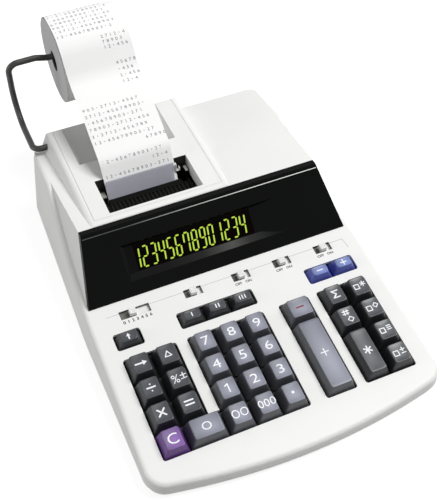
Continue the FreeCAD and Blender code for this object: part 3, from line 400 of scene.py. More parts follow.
def gloss_black(name="polished_black", color=(0.0030, 0.0036, 0.0032), gloss=0.16, specular=0.05):
    return plastic(name, color, 0.2, gloss, 60.0, 0.000001, 0.0003, Specular_IOR_Level=specular)


def ink(name, color, gloss=0.55):
    return plastic(name, color, 0.15, gloss, 3000.0, 0.000002, 0.0)


def paper_material():
    return plastic("adding_paper", props("paper").paper, 0.02, 0.78, 3200.0, 0.000010, 0.0,
                   Specular_IOR_Level=0.2, Sheen_Weight=0.05)


def lit_bevel():
    """Black bevel under the digits, with a painted highlight: a grey gradient along X, brightest towards its
    right part.
    """
    material, tree, shader = new_material("black_lower_bevel_painted_highlight")
    greys = [(place, (grey, grey, grey * 0.96))
             for place, grey in ((0.30, 0.006), (0.50, 0.018), (0.67, 0.085), (0.77, 0.03))]
    stops = [(0.0, (0.003, 0.004, 0.0035)), *greys, (0.92, (0.004, 0.006, 0.005))]
    feed(tree, shader, {"Base Color": ramp(tree, share_along_x(tree, -80.0, 60.0), stops),
                        "Roughness": 0.34, SPECULAR: 0.08})
    return material


def edge_trim():
    """Painted highlight along the top edge of the display front, fading to dark towards its left end."""
    material = plastic("bezel_top_painted_highlight", (0.82, 0.84, 0.80), 0.05, 0.3, 900.0, 0.000004, 0.0)
    tree = material.node_tree
    painted_light = mix_colors(tree, share_along_x(tree, -60.0, 40.0), (0.05, 0.06, 0.05, 1),
                      tree.nodes["grain"].outputs["Color"])
    feed(tree, tree.nodes["Principled BSDF"], {"Base Color": painted_light})
    return material


def roll_end_material():
    """Paper seen on edge, given a greyer colour than the paper as painted shade, with fine winding lines
    about the roll's axis.
    """
    material = plastic("wound_paper_edge", (0.66, 0.66, 0.67), 0.08, 0.8, 2600.0, 0.00003, 0.0,
                       Specular_IOR_Level=0.15)
    tree = material.node_tree
    centre = add(tree, "ShaderNodeMapping", {"Vector": tree.nodes["place"].outputs["Object"],
                                             "Location": (0, -ROLL_CENTRE.y, -ROLL_CENTRE.z)})
    group = node_group("wound_layers", "ShaderNodeTree", {"Vector": "Vector", "Lines": "Float"},
                       {"Height": "Float"}, fill_rings)
    rings = add(tree, "ShaderNodeGroup", {"Vector": centre.outputs["Vector"], "Lines": 9000.0},
                node_tree=group)
    feed(tree, tree.nodes["bump"], {"Height": rings.outputs["Height"]})
    return material


def top_sheen(material):
    """Make a key top darker away from its painted highlight spot, as its "sheen" values say: painted
    highlight and shade.
    """
    tree = material.node_tree
    if "sheen" not in tree.nodes:
        spot = add(tree, "ShaderNodeAttribute", name="sheen", attribute_name="sheen")
        fall = ramp(tree, spot.outputs["Fac"], [(0.15, (0.42, 0.43, 0.44)), (0.85, (1, 1, 1))])
        painted_light = mix_colors(tree, 1.0, tree.nodes["grain"].outputs["Color"], fall, "MULTIPLY")
        feed(tree, tree.nodes["Principled BSDF"], {"Base Color": painted_light})
    return material


# Small shape makers


def in_metres(points):
    return [(x * MM, y * MM) for x, y in points]


def grid_faces(rows, columns, closed=True):
    """Quads between rows of points; each row is a ring when closed."""
    faces = []
    for i in range(rows - 1):
        for j in range(columns if closed else columns - 1):
            k = (j + 1) % columns
            faces.append((i * columns + j, i * columns + k, (i + 1) * columns + k, (i + 1) * columns + j))
    return faces


def ring_points(half_x, half_y, front_radius, rear_radius, steps):
    """Points round a rounded rectangle, the same number for any size, front edge at minus Y."""
    corners = (
        (half_x, -half_y, front_radius, -90), (half_x, half_y, rear_radius, 0),
        (-half_x, half_y, rear_radius, 90), (-half_x, -half_y, front_radius, 180),
    )
    arcs = []
    for x, y, radius, start in corners:
        radius = min(radius, half_x * 0.98, half_y * 0.98)
        cx = x - math.copysign(radius, x)
        cy = y - math.copysign(radius, y)
        turns = [math.radians(start + 90 * i / (steps - 1)) for i in range(steps)]
        arcs.append([(cx + radius * math.cos(turn), cy + radius * math.sin(turn)) for turn in turns])
    points = []
    for i, arc in enumerate(arcs):
        points.extend(arc)
        (x0, y0), (x1, y1) = arc[-1], arcs[(i + 1) % 4][0]
        points.extend((x0 + (x1 - x0) * j / steps, y0 + (y1 - y0) * j / steps) for j in range(1, steps))
    return points


def strokes_outline(strokes, width):
    """Flat bars with round ends from a list of line ends: points and faces."""
    points = []
    faces = []
    for x0, y0, x1, y1 in strokes:
        direction = math.atan2(y1 - y0, x1 - x0)
        first = len(points)
        for cx, cy, start in ((x1, y1, -90), (x0, y0, 90)):
            for i in range(5):
                turn = direction + math.radians(start + 45 * i)
                points.append((cx + width / 2 * math.cos(turn), cy + width / 2 * math.sin(turn)))
        faces.append(tuple(range(first, len(points))))
    return points, faces


def text_outline(text, height, stretch=1.0, weight=0.0):
    """Flat lettering of a given height and extra weight, middle on the origin: points and faces."""
    curve = bpy.data.curves.new("lettering", "FONT")
    curve.body = text
    curve.resolution_u = 3
    curve.offset = weight
    holder = link("lettering", curve)
    mesh = plain_mesh(holder)
    across = [v.co.x for v in mesh.vertices]
    along = [v.co.y for v in mesh.vertices]
    scale = height / (max(along) - min(along))
    x_middle = (max(across) + min(across)) / 2
    y_middle = (max(along) + min(along)) / 2
    points = [((x - x_middle) * scale * stretch, (y - y_middle) * scale) for x, y in zip(across, along)]
    faces = [tuple(p.vertices) for p in mesh.polygons]
    bpy.data.objects.remove(holder)
    bpy.data.curves.remove(curve)
    bpy.data.meshes.remove(mesh)
    return points, faces


def joined(*parts):
    """One outline out of several, each moved by its own x and y."""
    points = []
    faces = []
    for (shape, polygons), x, y in parts:
        first = len(points)
        points.extend((px + x, py + y) for px, py in shape)
        faces.extend(tuple(first + i for i in polygon) for polygon in polygons)
    return points, faces


def cut_on_grid(points, faces, step):
    """Split flat outlines along a square grid, so that they can follow a hollow."""
    work = bmesh.new()
    corners = [work.verts.new((x, y, 0)) for x, y in points]
    for face in faces:
        work.faces.new([corners[i] for i in face])
    for axis in range(2):
        low = min(point[axis] for point in points)
        high = max(point[axis] for point in points)
        normal = Vector((1 - axis, axis, 0))
        for i in range(math.ceil(low / step), math.floor(high / step) + 1):
            shape = work.verts[:] + work.edges[:] + work.faces[:]
            bmesh.ops.bisect_plane(work, geom=shape, dist=1e-7, plane_co=normal * (i * step), plane_no=normal)
    work.verts.index_update()
    cut_points = [(v.co.x, v.co.y) for v in work.verts]
    cut_faces = [tuple(v.index for v in face.verts) for face in work.faces]
    work.free()
    return cut_points, cut_faces


def thickened(points, faces, surface, low, high):
    """Close flat outlines into thin solids between two heights over a surface(x, y, height)."""
    count = len(points)
    solid = [surface(x, y, height) for height in (low, high) for x, y in points]
    made = []
    sides = {}
    for face in faces:
        area = sum(points[a][0] * points[b][1] - points[b][0] * points[a][1]
                   for a, b in zip(face, face[1:] + face[:1]))
        face = face if area > 0 else face[::-1]
        made.append(tuple(i + count for i in face))
        made.append(face[::-1])
        for a, b in zip(face, face[1:] + face[:1]):
            if (b, a) in sides:
                del sides[(b, a)]
            else:
                sides[(a, b)] = True
    made.extend((a, b, b + count, a + count) for a, b in sides)
    return solid, made


def slab(name, outline, place, low, high, material, *nodes, slot=None):
    """A thin piece of the case over a plane, from an outline and two heights in millimetres."""
    points, faces = outline
    solid, made = thickened(in_metres(points), faces, lambda x, y, h: place @ Vector((x, y, h)),
                            low * MM, high * MM)
    return seat(mesh_piece(name, solid, made, material), "root", *nodes, slot=slot)


def one_face(corners):
    return corners, [tuple(range(len(corners)))]


def blocks_piece(name, blocks, rounding, material):
    """Rounded blocks between pairs of corners in case millimetres, joined into one piece."""
    work = bmesh.new()
    for low, high in blocks:
        for vertex in bmesh.ops.create_cube(work, size=1)["verts"]:
            vertex.co = at(*[(a + b) / 2 + c * (b - a) for a, b, c in zip(low, high, vertex.co)])
    bmesh.ops.bevel(work, geom=work.edges[:], offset=rounding * MM, segments=2, affect="EDGES", profile=0.6)
    return seat(worked_piece(name, work, material), "root")


def fill_bar_row(tree, entry):
    """Geometry Nodes: copies of a bar along X, moved and turned together."""
    step = add(tree, "ShaderNodeCombineXYZ", {"X": entry["Pitch"]})
    line = add(tree, "GeometryNodeMeshLine", {"Count": entry["Count"], "Offset": step.outputs["Vector"]},
               mode="OFFSET")
    cube = add(tree, "GeometryNodeMeshCube", {"Size": entry["Size"]})
    bars = add(tree, "GeometryNodeInstanceOnPoints",
               {"Points": line.outputs["Mesh"], "Instance": cube.outputs["Mesh"]})
    place = add(tree, "GeometryNodeTransform", {"Geometry": bars.outputs["Instances"],
                                                "Translation": entry["Start"], "Rotation": entry["Turn"]})
    real = add(tree, "GeometryNodeRealizeInstances", {"Geometry": place.outputs["Geometry"]})
    painted = add(tree, "GeometryNodeSetMaterial",
                  {"Geometry": real.outputs["Geometry"], "Material": entry["Material"]})
    return {"Geometry": painted.outputs["Geometry"]}


def bar_row(name, rounding, **values):
    """A row of small bars made by Geometry Nodes and turned into a plain mesh."""
    piece = link(name, bpy.data.meshes.new(name))
    modifier = piece.modifiers.new("row", "NODES")
    modifier.node_group = node_group(
        "row_of_bars", "GeometryNodeTree",
        {"Count": "Int", "Pitch": "Float", "Size": "Vector", "Start": "Vector", "Turn": "Vector",
         "Material": "Material"}, {"Geometry": "Geometry"}, fill_bar_row)
    for item in modifier.node_group.interface.items_tree:
        if item.item_type == "SOCKET" and item.in_out == "INPUT":
            modifier[item.identifier] = values[item.name.lower()]
    bevel = piece.modifiers.new("round", "BEVEL")
    bevel.width = rounding
    bevel.segments = 2
    return baked(piece)


# Marks on the key tops, in millimetres from the middle of the key

LEGEND_GRID = 1.1


def round_trip(corners):
    """The sides of a closed figure, as line ends."""
    return [(*a, *b) for a, b in zip(corners, corners[1:] + corners[:1])]


def star(cx, cy, reach):
    turns = [math.radians(90 + 60 * i) for i in range(3)]
    arms = [(reach * math.cos(turn), reach * math.sin(turn)) for turn in turns]
    return [(cx - dx, cy - dy, cx + dx, cy + dy) for dx, dy in arms]


def diamond(cx, cy, reach):
    return round_trip([(cx + reach, cy), (cx, cy + reach), (cx - reach, cy), (cx, cy - reach)])


def plus(cx, cy, reach):
    return [(cx - reach, cy, cx + reach, cy), (cx, cy - reach, cx, cy + reach)]


def level(cx, cy, reach):
    return [(cx - reach, cy, cx + reach, cy)]


def uprights(*places):
    return [(x, -1.4, x, 1.4) for x in places]


# Letters: text, height, stretch of its width, and its middle
LETTERS = {
    "key_0": [("O", 6.0, 1.1, 0, 0)],
    "key_double_zero": [("OO", 6.3, 0.86, 0, 0)],
    "key_triple_zero": [("000", 5.8, 1.08, 0, 0)],
    "key_point": [(".", 2.2, 1.0, 0, 0.3)],
    "key_percent": [("%", 6.4, 0.95, -2.2, -0.4), ("\u00b1", 5.0, 1.1, 3.7, 0.5)],
    "key_clear": [("C", 7.6, 1.1, 0, -0.2)],
}
for digit in "23456789":
    LETTERS["key_" + digit] = [(digit, 6.9, 1.3, 0, 0)]

# Bars: their ends and their width
MEMORY_BOX = round_trip([(-0.7, 1.5), (-4.5, 1.5), (-4.5, -2.3), (-0.7, -2.3)])
BARS = {
    "key_1": ([(-1.7, 1.9, 0.4, 3.1), (0.4, 3.1, 0.4, -3.1)], 0.95),
    "key_right_shift": (level(-1.0, 0, 3.0), 1.2),
    "key_change": (round_trip([(-2.4, -1.9), (2.4, -1.9), (0, 2.3)]), 0.75),
    "key_divide": (level(0, 0, 2.9) + [(0, 2.6, 0, 2.65), (0, -2.6, 0, -2.65)], 1.2),
    "key_multiply": ([(-2.5, -2.5, 2.5, 2.5), (-2.5, 2.5, 2.5, -2.5)], 1.2),
    "key_equals": (level(0, 1.4, 3.0) + level(0, -1.4, 3.0), 1.15),
    "key_minus": (level(0, 0, 2.6), 1.2),
    "key_plus": (plus(0, 0, 2.9), 0.8),
    "key_grand_total": ([(2.5, 2.8, -2.5, 2.8), (-2.5, 2.8, 0.7, 0), (0.7, 0, -2.5, -2.8),
                         (-2.5, -2.8, 2.5, -2.8)], 1.0),
    "key_memory_total": (MEMORY_BOX + star(2.9, 1.0, 2.0), 0.8),
    "key_number_sign": ([(-1.5, 5.0, -1.8, 0.9), (0.7, 5.0, 0.4, 0.9), (-3.0, 4.0, 1.9, 4.0),
                         (-3.2, 2.0, 1.7, 2.0)] + diamond(0.9, -3.0, 2.2), 0.75),
    "key_memory_diamond": (MEMORY_BOX + diamond(2.9, 0.9, 2.0), 0.75),
    "key_memory_equals": (MEMORY_BOX + level(2.9, 2.3, 1.5) + level(2.9, 0.8, 1.5)
                          + level(2.9, -0.7, 1.5), 0.75),
    "key_memory_plus_minus": (MEMORY_BOX + plus(2.9, 1.4, 1.6) + level(2.9, -1.5, 1.6), 0.75),
    "key_total": (star(0, 0, 3.1), 1.0),
    "key_paper_feed": ([(0, -2.1, 0, 0.6)], 1.1),
    "key_cost": (uprights(0), 0.85),
    "key_sell": (uprights(-1.1, 1.1), 0.85),
    "key_margin": (uprights(-2.1, 0, 2.1), 0.85),
    "key_tax_less": (level(0, 0, 2.2), 0.95),
    "key_tax_more": (plus(0, 0, 2.2), 0.95),
}
ARROW_HEADS = {
    "key_right_shift": [(1.4, -2.0), (4.6, 0), (1.4, 2.0)],
    "key_paper_feed": [(-1.7, 0.2), (1.7, 0.2), (0, 2.5)],
}


def legend_outline(node):
    """Letters, bars and arrow head of one key, in millimetres round its middle."""
    parts = [(text_outline(text, height, stretch), x, y)
             for text, height, stretch, x, y in LETTERS.get(node, ())]
    if node in BARS:
        parts.append((strokes_outline(*BARS[node]), 0, 0))
    if node in ARROW_HEADS:
        parts.append((one_face(ARROW_HEADS[node]), 0, 0))
    return cut_on_grid(*joined(*parts), LEGEND_GRID)


# Keys

GREY_SLOT = "key_grey"
BLUE_KEYS = ("key_tax_less", "key_tax_more")
SMALL_KEYS = BLUE_KEYS + ("key_paper_feed", "key_cost", "key_sell", "key_margin")
KEY_SKIRT = -3.0 * MM
SIDE_CUT, TALL_CUT, SMALL_CUT = 6.6 * MM, 4.2 * MM, 4.6 * MM
CORNER, SMALL_FRONT_CORNER = 1.5 * MM, 2.6 * MM
# Heights of the rings up a side, and sizes of the rings across a top, as shares
SIDE_RINGS = (0.0, 0.25, 0.27, 0.6)
TOP_RINGS = (0.93, 0.84, 0.72, 0.60, 0.48, 0.36, 0.24, 0.1)
# Painted highlight spot of a key top, counted from its middle in half widths and half depths
SHEEN_X, SHEEN_V, SHEEN_REACH = 0.25, -0.25, 1.7


def deck_box(node):
    """Corners of a CAD node measured in the deck's own directions."""
    to_deck = DECK.inverted()
    points = [to_deck @ v.co for v in frame["nodes"][node].data.vertices]
    low = Vector(min(p[i] for p in points) for i in range(3))
    high = Vector(max(p[i] for p in points) for i in range(3))
    return low, high


class Key:
    """Place, size and hollow top of one key on the deck."""

    def __init__(self, node):
        looks = props("keys")
        low, high = deck_box(node)
        self.small = node in SMALL_KEYS
        self.x = (low.x + high.x) / 2
        self.v = (low.y + high.y) / 2
        self.half_x = (high.x - low.x) / 2
        self.half_v = (high.y - low.y) / 2
        self.height = high.z
        self.tall = self.height - KEY_SKIRT
        self.top_x = self.half_x - SIDE_CUT / 2
        self.top_v = self.half_v - (SMALL_CUT if self.small else TALL_CUT) / 2
        self.dish = looks.dish * (0.8 if self.small else 1.0)
        self.round = looks.round
        edge_x, edge_v = self.halves(self.round / self.tall)
        self.rim_x = edge_x - self.round
        self.rim_v = edge_v - self.round

    def halves(self, share):
        """Half width and half depth at a share of the way down from the top."""
        return (self.top_x + (self.half_x - self.top_x) * share,
                self.top_v + (self.half_v - self.top_v) * share)

    def surface(self, x, v):
        """Height of the hollow top over the deck at a point counted from the key's middle."""
        across = min(1.0, abs(x) / self.rim_x)
        along = min(1.0, abs(v) / self.rim_v)
        return self.height - self.dish * (1 - across ** 2) * (1 - along ** 4)

    def world(self, x, v, w):
        return DECK @ Vector((self.x + x, self.v + v, w))

    def on_top(self, x, v, lift):
        return self.world(x, v, self.surface(x, v) + lift)


def key_materials(node):
    """Side and top of one key: one plastic, with the side coloured darker than the top as painted shade."""
    looks = props("keys")
    if node in BLUE_KEYS:
        kind, top, side = "blue", looks.blue_top, looks.blue_side
    elif node == "key_clear":
        kind, top, side = "purple", looks.purple_top, looks.purple_side
    elif SLOT_OF[node] == GREY_SLOT:
        kind, top, side = "number", looks.number_top, looks.number_side
    else:
        kind, top, side = "charcoal", looks.dark_top, looks.dark_side
    gloss = 0.30 if kind == "charcoal" else 0.36
    return [
        plastic(kind + "_key_side", side, 0.08, 0.38, 2300.0, 0.000006, 0.0),
        top_sheen(plastic(kind + "_key_top", top, 0.05, gloss, 2300.0, 0.000006, 0.0)),
    ]


def key_cap(node):
    """One key: drafted sides, rounded rim and a hollow top, with the sides coloured darker than the top as
    painted shade.
    """
    key = Key(node)
    steps = props("keys").steps
    front = SMALL_FRONT_CORNER if key.small else CORNER
    rings = []
    for share in SIDE_RINGS:
        lean = share * (1 - key.round / key.tall)
        half_x = key.half_x + (key.top_x - key.half_x) * lean
        half_v = key.half_v + (key.top_v - key.half_v) * lean
        rings.append((half_x, half_v, KEY_SKIRT + key.tall * lean, CORNER, CORNER + (front - CORNER) * share))
    for i in range(5):
        turn = math.radians(22.5 * i)
        drop = key.round * (1 - math.sin(turn))
        half_x, half_v = key.halves(drop / key.tall)
        rings.append((half_x - (half_x - key.rim_x) * (1 - math.cos(turn)),
                      half_v - (half_v - key.rim_v) * (1 - math.cos(turn)), key.height - drop, CORNER, front))
    points = []
    for half_x, half_v, w, rear, fore in rings:
        points.extend((x, v, w) for x, v in ring_points(half_x, half_v, fore, rear, steps))
    for share in TOP_RINGS:
        ring = ring_points(key.rim_x * share, key.rim_v * share, front * share, CORNER * share, steps)
        points.extend((x, v, key.surface(x, v)) for x, v in ring)
    rows = len(rings) + len(TOP_RINGS)
    columns = len(points) // rows
    faces = grid_faces(rows, columns)
    walls = len(faces)
    faces.append(tuple(reversed(range(columns))))
    faces.append(tuple(range((rows - 1) * columns, rows * columns)))
    piece = mesh_piece(node + "_cap", [key.world(*p) for p in points], faces, *key_materials(node))
    sheen = piece.data.attributes.new("sheen", "FLOAT", "POINT")
    for index, (x, v, w) in enumerate(points):
        away = math.hypot(x / key.rim_x - SHEEN_X, v / key.rim_v - SHEEN_V)
        sheen.data[index].value = max(0.0, 1 - away / SHEEN_REACH)
    first_top = (len(rings) - 3) * columns
    for index, polygon in enumerate(piece.data.polygons):
        polygon.use_smooth = index < walls
        polygon.material_index = 1 if index >= first_top and index != walls else 0
    mark_sharp(piece.data, 50)
    return seat(piece, BODY_OF[node], node, slot=SLOT_OF[node])


def mark_sharp(mesh, angle):
    work = bmesh.new()
    work.from_mesh(mesh)
    crease_edges(work, angle)
    work.to_mesh(mesh)
    work.free()


def key_legend(node):
    """The mark on a key top, laid into its hollow."""
    raise_by = props("keys").legend
    points, faces = legend_outline(node)
    solid, made = thickened(in_metres(points), faces, Key(node).on_top, -raise_by, raise_by)
    if node == "key_minus":
        material = ink("minus_legend_ink", (0.20, 0.010, 0.03))
    else:
        material = ink("legend_ink", (0.88, 0.89, 0.92), 0.4)
    return seat(mesh_piece(node + "_legend", solid, made, material), BODY_OF[node])


# Display: places on the slope in millimetres, and the bars lit for each figure

SEGMENTS = {
    "0": "abcdef", "1": "bc", "2": "abged", "3": "abgcd", "4": "fgbc", "5": "afgcd",
    "6": "afgedc", "7": "abcf", "8": "abcdefg", "9": "abcdfg",
}
DISPLAY_TEXT = "12345678901234"
FIRST_DIGIT_RIGHT = -57.7
DIGIT_LOW = 17.2
RECESS_FLOOR = -2.5
PANE_FACE = RECESS_FLOOR + 0.06
FILTER_PANE = (-60.5, 33.5, 15.6, 35.2)
# Painted highlight line along the top edge of the display front, in millimetres on the slope.
PAINTED_HIGHLIGHT_LINE = (-94.6, 94.6, 49.55, 50.15)


def segment_bars(height, width, stroke):
    """Ends of the seven bars of a digit, from its lower left corner."""
    gap = stroke * 0.34
    half = height / 2
    return {
        "a": (gap, height, width - gap, height), "g": (gap, half, width - gap, half),
        "d": (gap, 0, width - gap, 0),
        "b": (width, half + gap, width, height - gap), "c": (width, gap, width, half - gap),
        "f": (0, half + gap, 0, height - gap), "e": (0, gap, 0, half - gap),
    }


def bar_polygon(x0, y0, x1, y1, stroke):
    """A bar with pointed ends."""
    run = math.hypot(x1 - x0, y1 - y0)
    dx, dy = (x1 - x0) / run, (y1 - y0) / run
    half = stroke / 2
    return [(x0 + dx * along - dy * aside, y0 + dy * along + dx * aside)
            for along, aside in ((0, 0), (half, -half), (run - half, -half), (run, 0),
                                 (run - half, half), (half, half))]


def display_digits():
    """Slanted seven-bar digits behind the window."""
    looks = props("display")
    height, width, stroke, pitch = (size / MM for size in
                                    (looks.height, looks.width, looks.stroke, looks.pitch))
    lean = math.tan(looks.slant)
    bars = segment_bars(height, width, stroke)
    parts = []
    for column, sign in enumerate(DISPLAY_TEXT):
        left = FIRST_DIGIT_RIGHT + column * pitch - width - stroke / 2
        for name in SEGMENTS[sign]:
            slanted = [(x + y * lean, y) for x, y in bar_polygon(*bars[name], stroke)]
            parts.append((one_face(slanted), left, DIGIT_LOW))
    glow = plastic("display_light", (0.05, 0.08, 0.01), 0.1, 0.4, 2000.0, 0.000001, 0.0,
                   Emission_Color=(*looks.digit, 1), Emission_Strength=0.95)
    slab("display_digits", joined(*parts), SLOPE, PANE_FACE + 0.02, PANE_FACE + 0.12, glow)


def slope_strip(name, x0, x1, s0, s1, low, high, material):
    slab(name, one_face([(x0, s0), (x1, s0), (x1, s1), (x0, s1)]), SLOPE, low, high, material)


# Paper: route of the tape's middle line, seen from the left side, and the bend at each corner

TAPE_LEFT, TAPE_RIGHT = -61.0 * MM, -4.0 * MM
TAPE_CORNERS = ((91.64, 43.5), (72.64, 36.5), (53.5, 36.5), (84.2, 91.7), (118.0, 110.0), (147.0, 122.0),
                (168.0, 148.5), (203.0, 148.8), (217.5, 137.5))
TAPE_BENDS = (0, 12.0, 9.5, 14.0, 60.0, 25.0, 30.0, 20.0, 0)
TAPE_STEP = 1.6 * MM
TAPE_COLUMNS = 9


def rounded_path(corners, radii, step=4.0):
    """Points along straight runs joined by tangent arcs, in the plane."""
    path = [corners[0]]
    for i in range(1, len(corners) - 1):
        here = Vector(corners[i])
        back = (Vector(corners[i - 1]) - here).normalized()
        ahead = (Vector(corners[i + 1]) - here).normalized()
        inside = back.angle(ahead)
        radius = radii[i]
        reach = radius / math.tan(inside / 2)
        centre = here + (back + ahead).normalized() * (radius / math.sin(inside / 2))
        start = here + back * reach - centre
        turn = math.pi - inside
        side = 1 if back.x * ahead.y - back.y * ahead.x < 0 else -1
        count = max(3, int(math.degrees(turn) / step))
        for k in range(count + 1):
            angle = side * turn * k / count
            c, s = math.cos(angle), math.sin(angle)
            path.append((centre.x + start.x * c - start.y * s, centre.y + start.x * s + start.y * c))
    path.append(corners[-1])
    return [Vector(p) for p in path]


def resampled(path, step):
    """Even steps along a path, with the length run so far."""
    samples = [(path[0], 0.0)]
    run = 0.0
    due = step
    for a, b in zip(path, path[1:]):
        stretch = (b - a).length
        while due <= run + stretch and stretch > 0:
            samples.append((a + (b - a) * ((due - run) / stretch), due))
            due += step
        run += stretch
    samples.append((path[-1], run))
    return samples


class TapeRoute:
    """The tape from under the platen, up through the window and over the roll."""

    def __init__(self):
        path = [Vector((y * MM + CASE_Y, z * MM)) for y, z in rounded_path(TAPE_CORNERS, TAPE_BENDS)]
        samples = resampled(path, TAPE_STEP)
        self.frames = []
        for i, (point, run) in enumerate(samples):
            before = samples[max(i - 1, 0)][0]
            after = samples[min(i + 1, len(samples) - 1)][0]
            along = (after - before).normalized()
            self.frames.append((point, Vector((-along.y, along.x)), run))

    def place(self, x, run, lift):
        """Place on the tape for a distance along it, raised off the printed side."""
        frames = self.frames
        run = max(0.0, min(run, frames[-1][2]))
        index = min(int(run / (frames[1][2] - frames[0][2])), len(frames) - 2)
        (a, na, ra), (b, nb, rb) = frames[index], frames[index + 1]
        share = (run - ra) / max(rb - ra, 1e-9)
        spot = a.lerp(b, share)
        normal = na.lerp(nb, share).normalized()
        out = lift + self.bow((x - TAPE_LEFT) / (TAPE_RIGHT - TAPE_LEFT))
        return Vector((x, spot.x + normal.x * out, spot.y + normal.y * out))

    def bow(self, share):
        """How far the tape bows out between its edges, which curl back a little."""
        return 0.25 * MM * (1 - (2 * share - 1) ** 2) - 0.2 * MM


def paper_tape():
    """The printed tape as a thin curved sheet."""
    route = TapeRoute()
    half = props("paper").thickness / 2
    columns, rows = TAPE_COLUMNS, len(route.frames)
    across = [TAPE_LEFT + (TAPE_RIGHT - TAPE_LEFT) * j / (columns - 1) for j in range(columns)]
    points = [route.place(x, run, lift)
              for lift in (half, -half) for point, normal, run in route.frames for x in across]
    count = rows * columns
    faces = []
    for a, b, c, d in grid_faces(rows, columns, False):
        faces.append((a, b, c, d))
        faces.append((d + count, c + count, b + count, a + count))
    rim = list(range(columns))
    rim += [i * columns + columns - 1 for i in range(1, rows)]
    rim += [(rows - 1) * columns + j for j in range(columns - 2, -1, -1)]
    rim += [i * columns for i in range(rows - 2, 0, -1)]
    faces += [(b, a, a + count, b + count) for a, b in zip(rim, rim[1:] + rim[:1])]
    piece = mesh_piece("printed_tape", points, faces, paper_material())
    for polygon in piece.data.polygons:
        polygon.use_smooth = True
    mark_sharp(piece.data, 40)
    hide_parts("paper_tape")
    return piece


# Blocks of printed rows: distance along the tape, step, rows, and left and right ends, in millimetres
PRINT_BLOCKS = (
    (77.3, 11.5, 2, -58.0, -6.0), (83.5, 16.0, 2, -19.0, -4.5), (105.0, 5.6, 6, -58.5, -11.0),
    (149.5, 5.3, 4, -20.0, -5.0), (179.0, 4.3, 3, -26.0, -8.0), (195.5, 5.2, 7, -59.0, -11.0),
)
PRINT_SIGNS = "12.45678903.27"
PRINT_HEIGHT, DOT_HEIGHT, PRINT_PITCH = 2.5 * MM, 0.7 * MM, 3.55 * MM
PRINT_SINK, PRINT_RISE = 0.00001, 0.00003


def tape_print():
    """Rows of plain figures that follow the tape."""
    glyphs = {sign: text_outline(sign, DOT_HEIGHT if sign == "." else PRINT_HEIGHT, 1.15)
              for sign in PRINT_SIGNS}
    parts = []
    for block, (first, step, rows, left, right) in enumerate(PRINT_BLOCKS):
        for row in range(rows):
            count = int((right - left) * MM / PRINT_PITCH) + 1 - (row + block) % 2
            for i in range(count):
                sign = PRINT_SIGNS[(i + 5 * row * block) % len(PRINT_SIGNS)]
                parts.append((glyphs[sign], left * MM + i * PRINT_PITCH, (first + step * row) * MM))
    points, faces = joined(*parts)
    looks = props("paper")
    half = looks.thickness / 2
    solid, made = thickened(points, faces, TapeRoute().place, half - PRINT_SINK, half + PRINT_RISE)
    return mesh_piece("tape_figures", solid, made, ink("print_ink", looks.ink, 0.7))


# Ends of the roll: steps round it, core radius and the insets of its profile
ROLL_STEPS = 72
CORE_RADIUS, CORE_INSET, CORE_WALL = 7.6 * MM, 0.9 * MM, 0.9 * MM
LAYER_INSET, RIPPLE = 0.2 * MM, 0.12 * MM


def paper_roll():
    """Wound roll with slightly dished, ringed ends and an open core."""
    layers = props("paper").layers
    half = (ROLL_HIGH.x - ROLL_LOW.x) / 2
    profile = [(-half + CORE_INSET, CORE_RADIUS)]
    for i in range(layers + 1):
        radius = CORE_RADIUS + CORE_WALL + (ROLL_RADIUS - CORE_RADIUS - 1.2 * MM) * (i / layers)
        profile.append((-half + LAYER_INSET + abs(RIPPLE * math.sin(i * 2.4)), radius))
    profile.append((-half + 0.25 * MM, ROLL_RADIUS - 0.05 * MM))
    profile.append((-half + 0.5 * MM, ROLL_RADIUS))
    profile += [(-x, r) for x, r in reversed(profile)]
    turns = [2 * math.pi * j / ROLL_STEPS for j in range(ROLL_STEPS)]
    points = [(ROLL_CENTRE.x + x, ROLL_CENTRE.y + radius * math.cos(turn),
               ROLL_CENTRE.z + radius * math.sin(turn)) for x, radius in profile for turn in turns]
    rows = len(profile)
    first = (rows - 1) * ROLL_STEPS
    faces = grid_faces(rows, ROLL_STEPS)
    for j in range(ROLL_STEPS):
        k = (j + 1) % ROLL_STEPS
        faces.append((first + j, first + k, k, j))
    bore = plastic("roll_bore_shadow", (0.010, 0.010, 0.009), 0.2, 0.7)
    piece = mesh_piece("wound_roll", points, faces, roll_end_material(), paper_material(), bore)
    outward(piece.data)
    for index, polygon in enumerate(piece.data.polygons):
        row = index // ROLL_STEPS
        in_bore = row in (0, rows - 2, rows - 1)
        polygon.use_smooth = True
        polygon.material_index = 2 if in_bore else 1 if row == rows // 2 - 1 else 0
    mark_sharp(piece.data, 40)
    return seat(piece, "roll", "paper_roll", slot="paper")


def outward(mesh):
    """Turn the faces of a closed shell so that they point out."""
    work = bmesh.new()
    work.from_mesh(mesh)
    bmesh.ops.remove_doubles(work, verts=work.verts, dist=0.000001)
    bmesh.ops.recalc_face_normals(work, faces=work.faces)
    work.to_mesh(mesh)
    work.free()


# Operators

CAMERA_PLACE = (-179.04, -427.50, 565.15)
CAMERA_TURN = (42.053, 0.468, -23.541)
FLOOR_HALF = 6.0
FLOOR_GLOW = 0.84


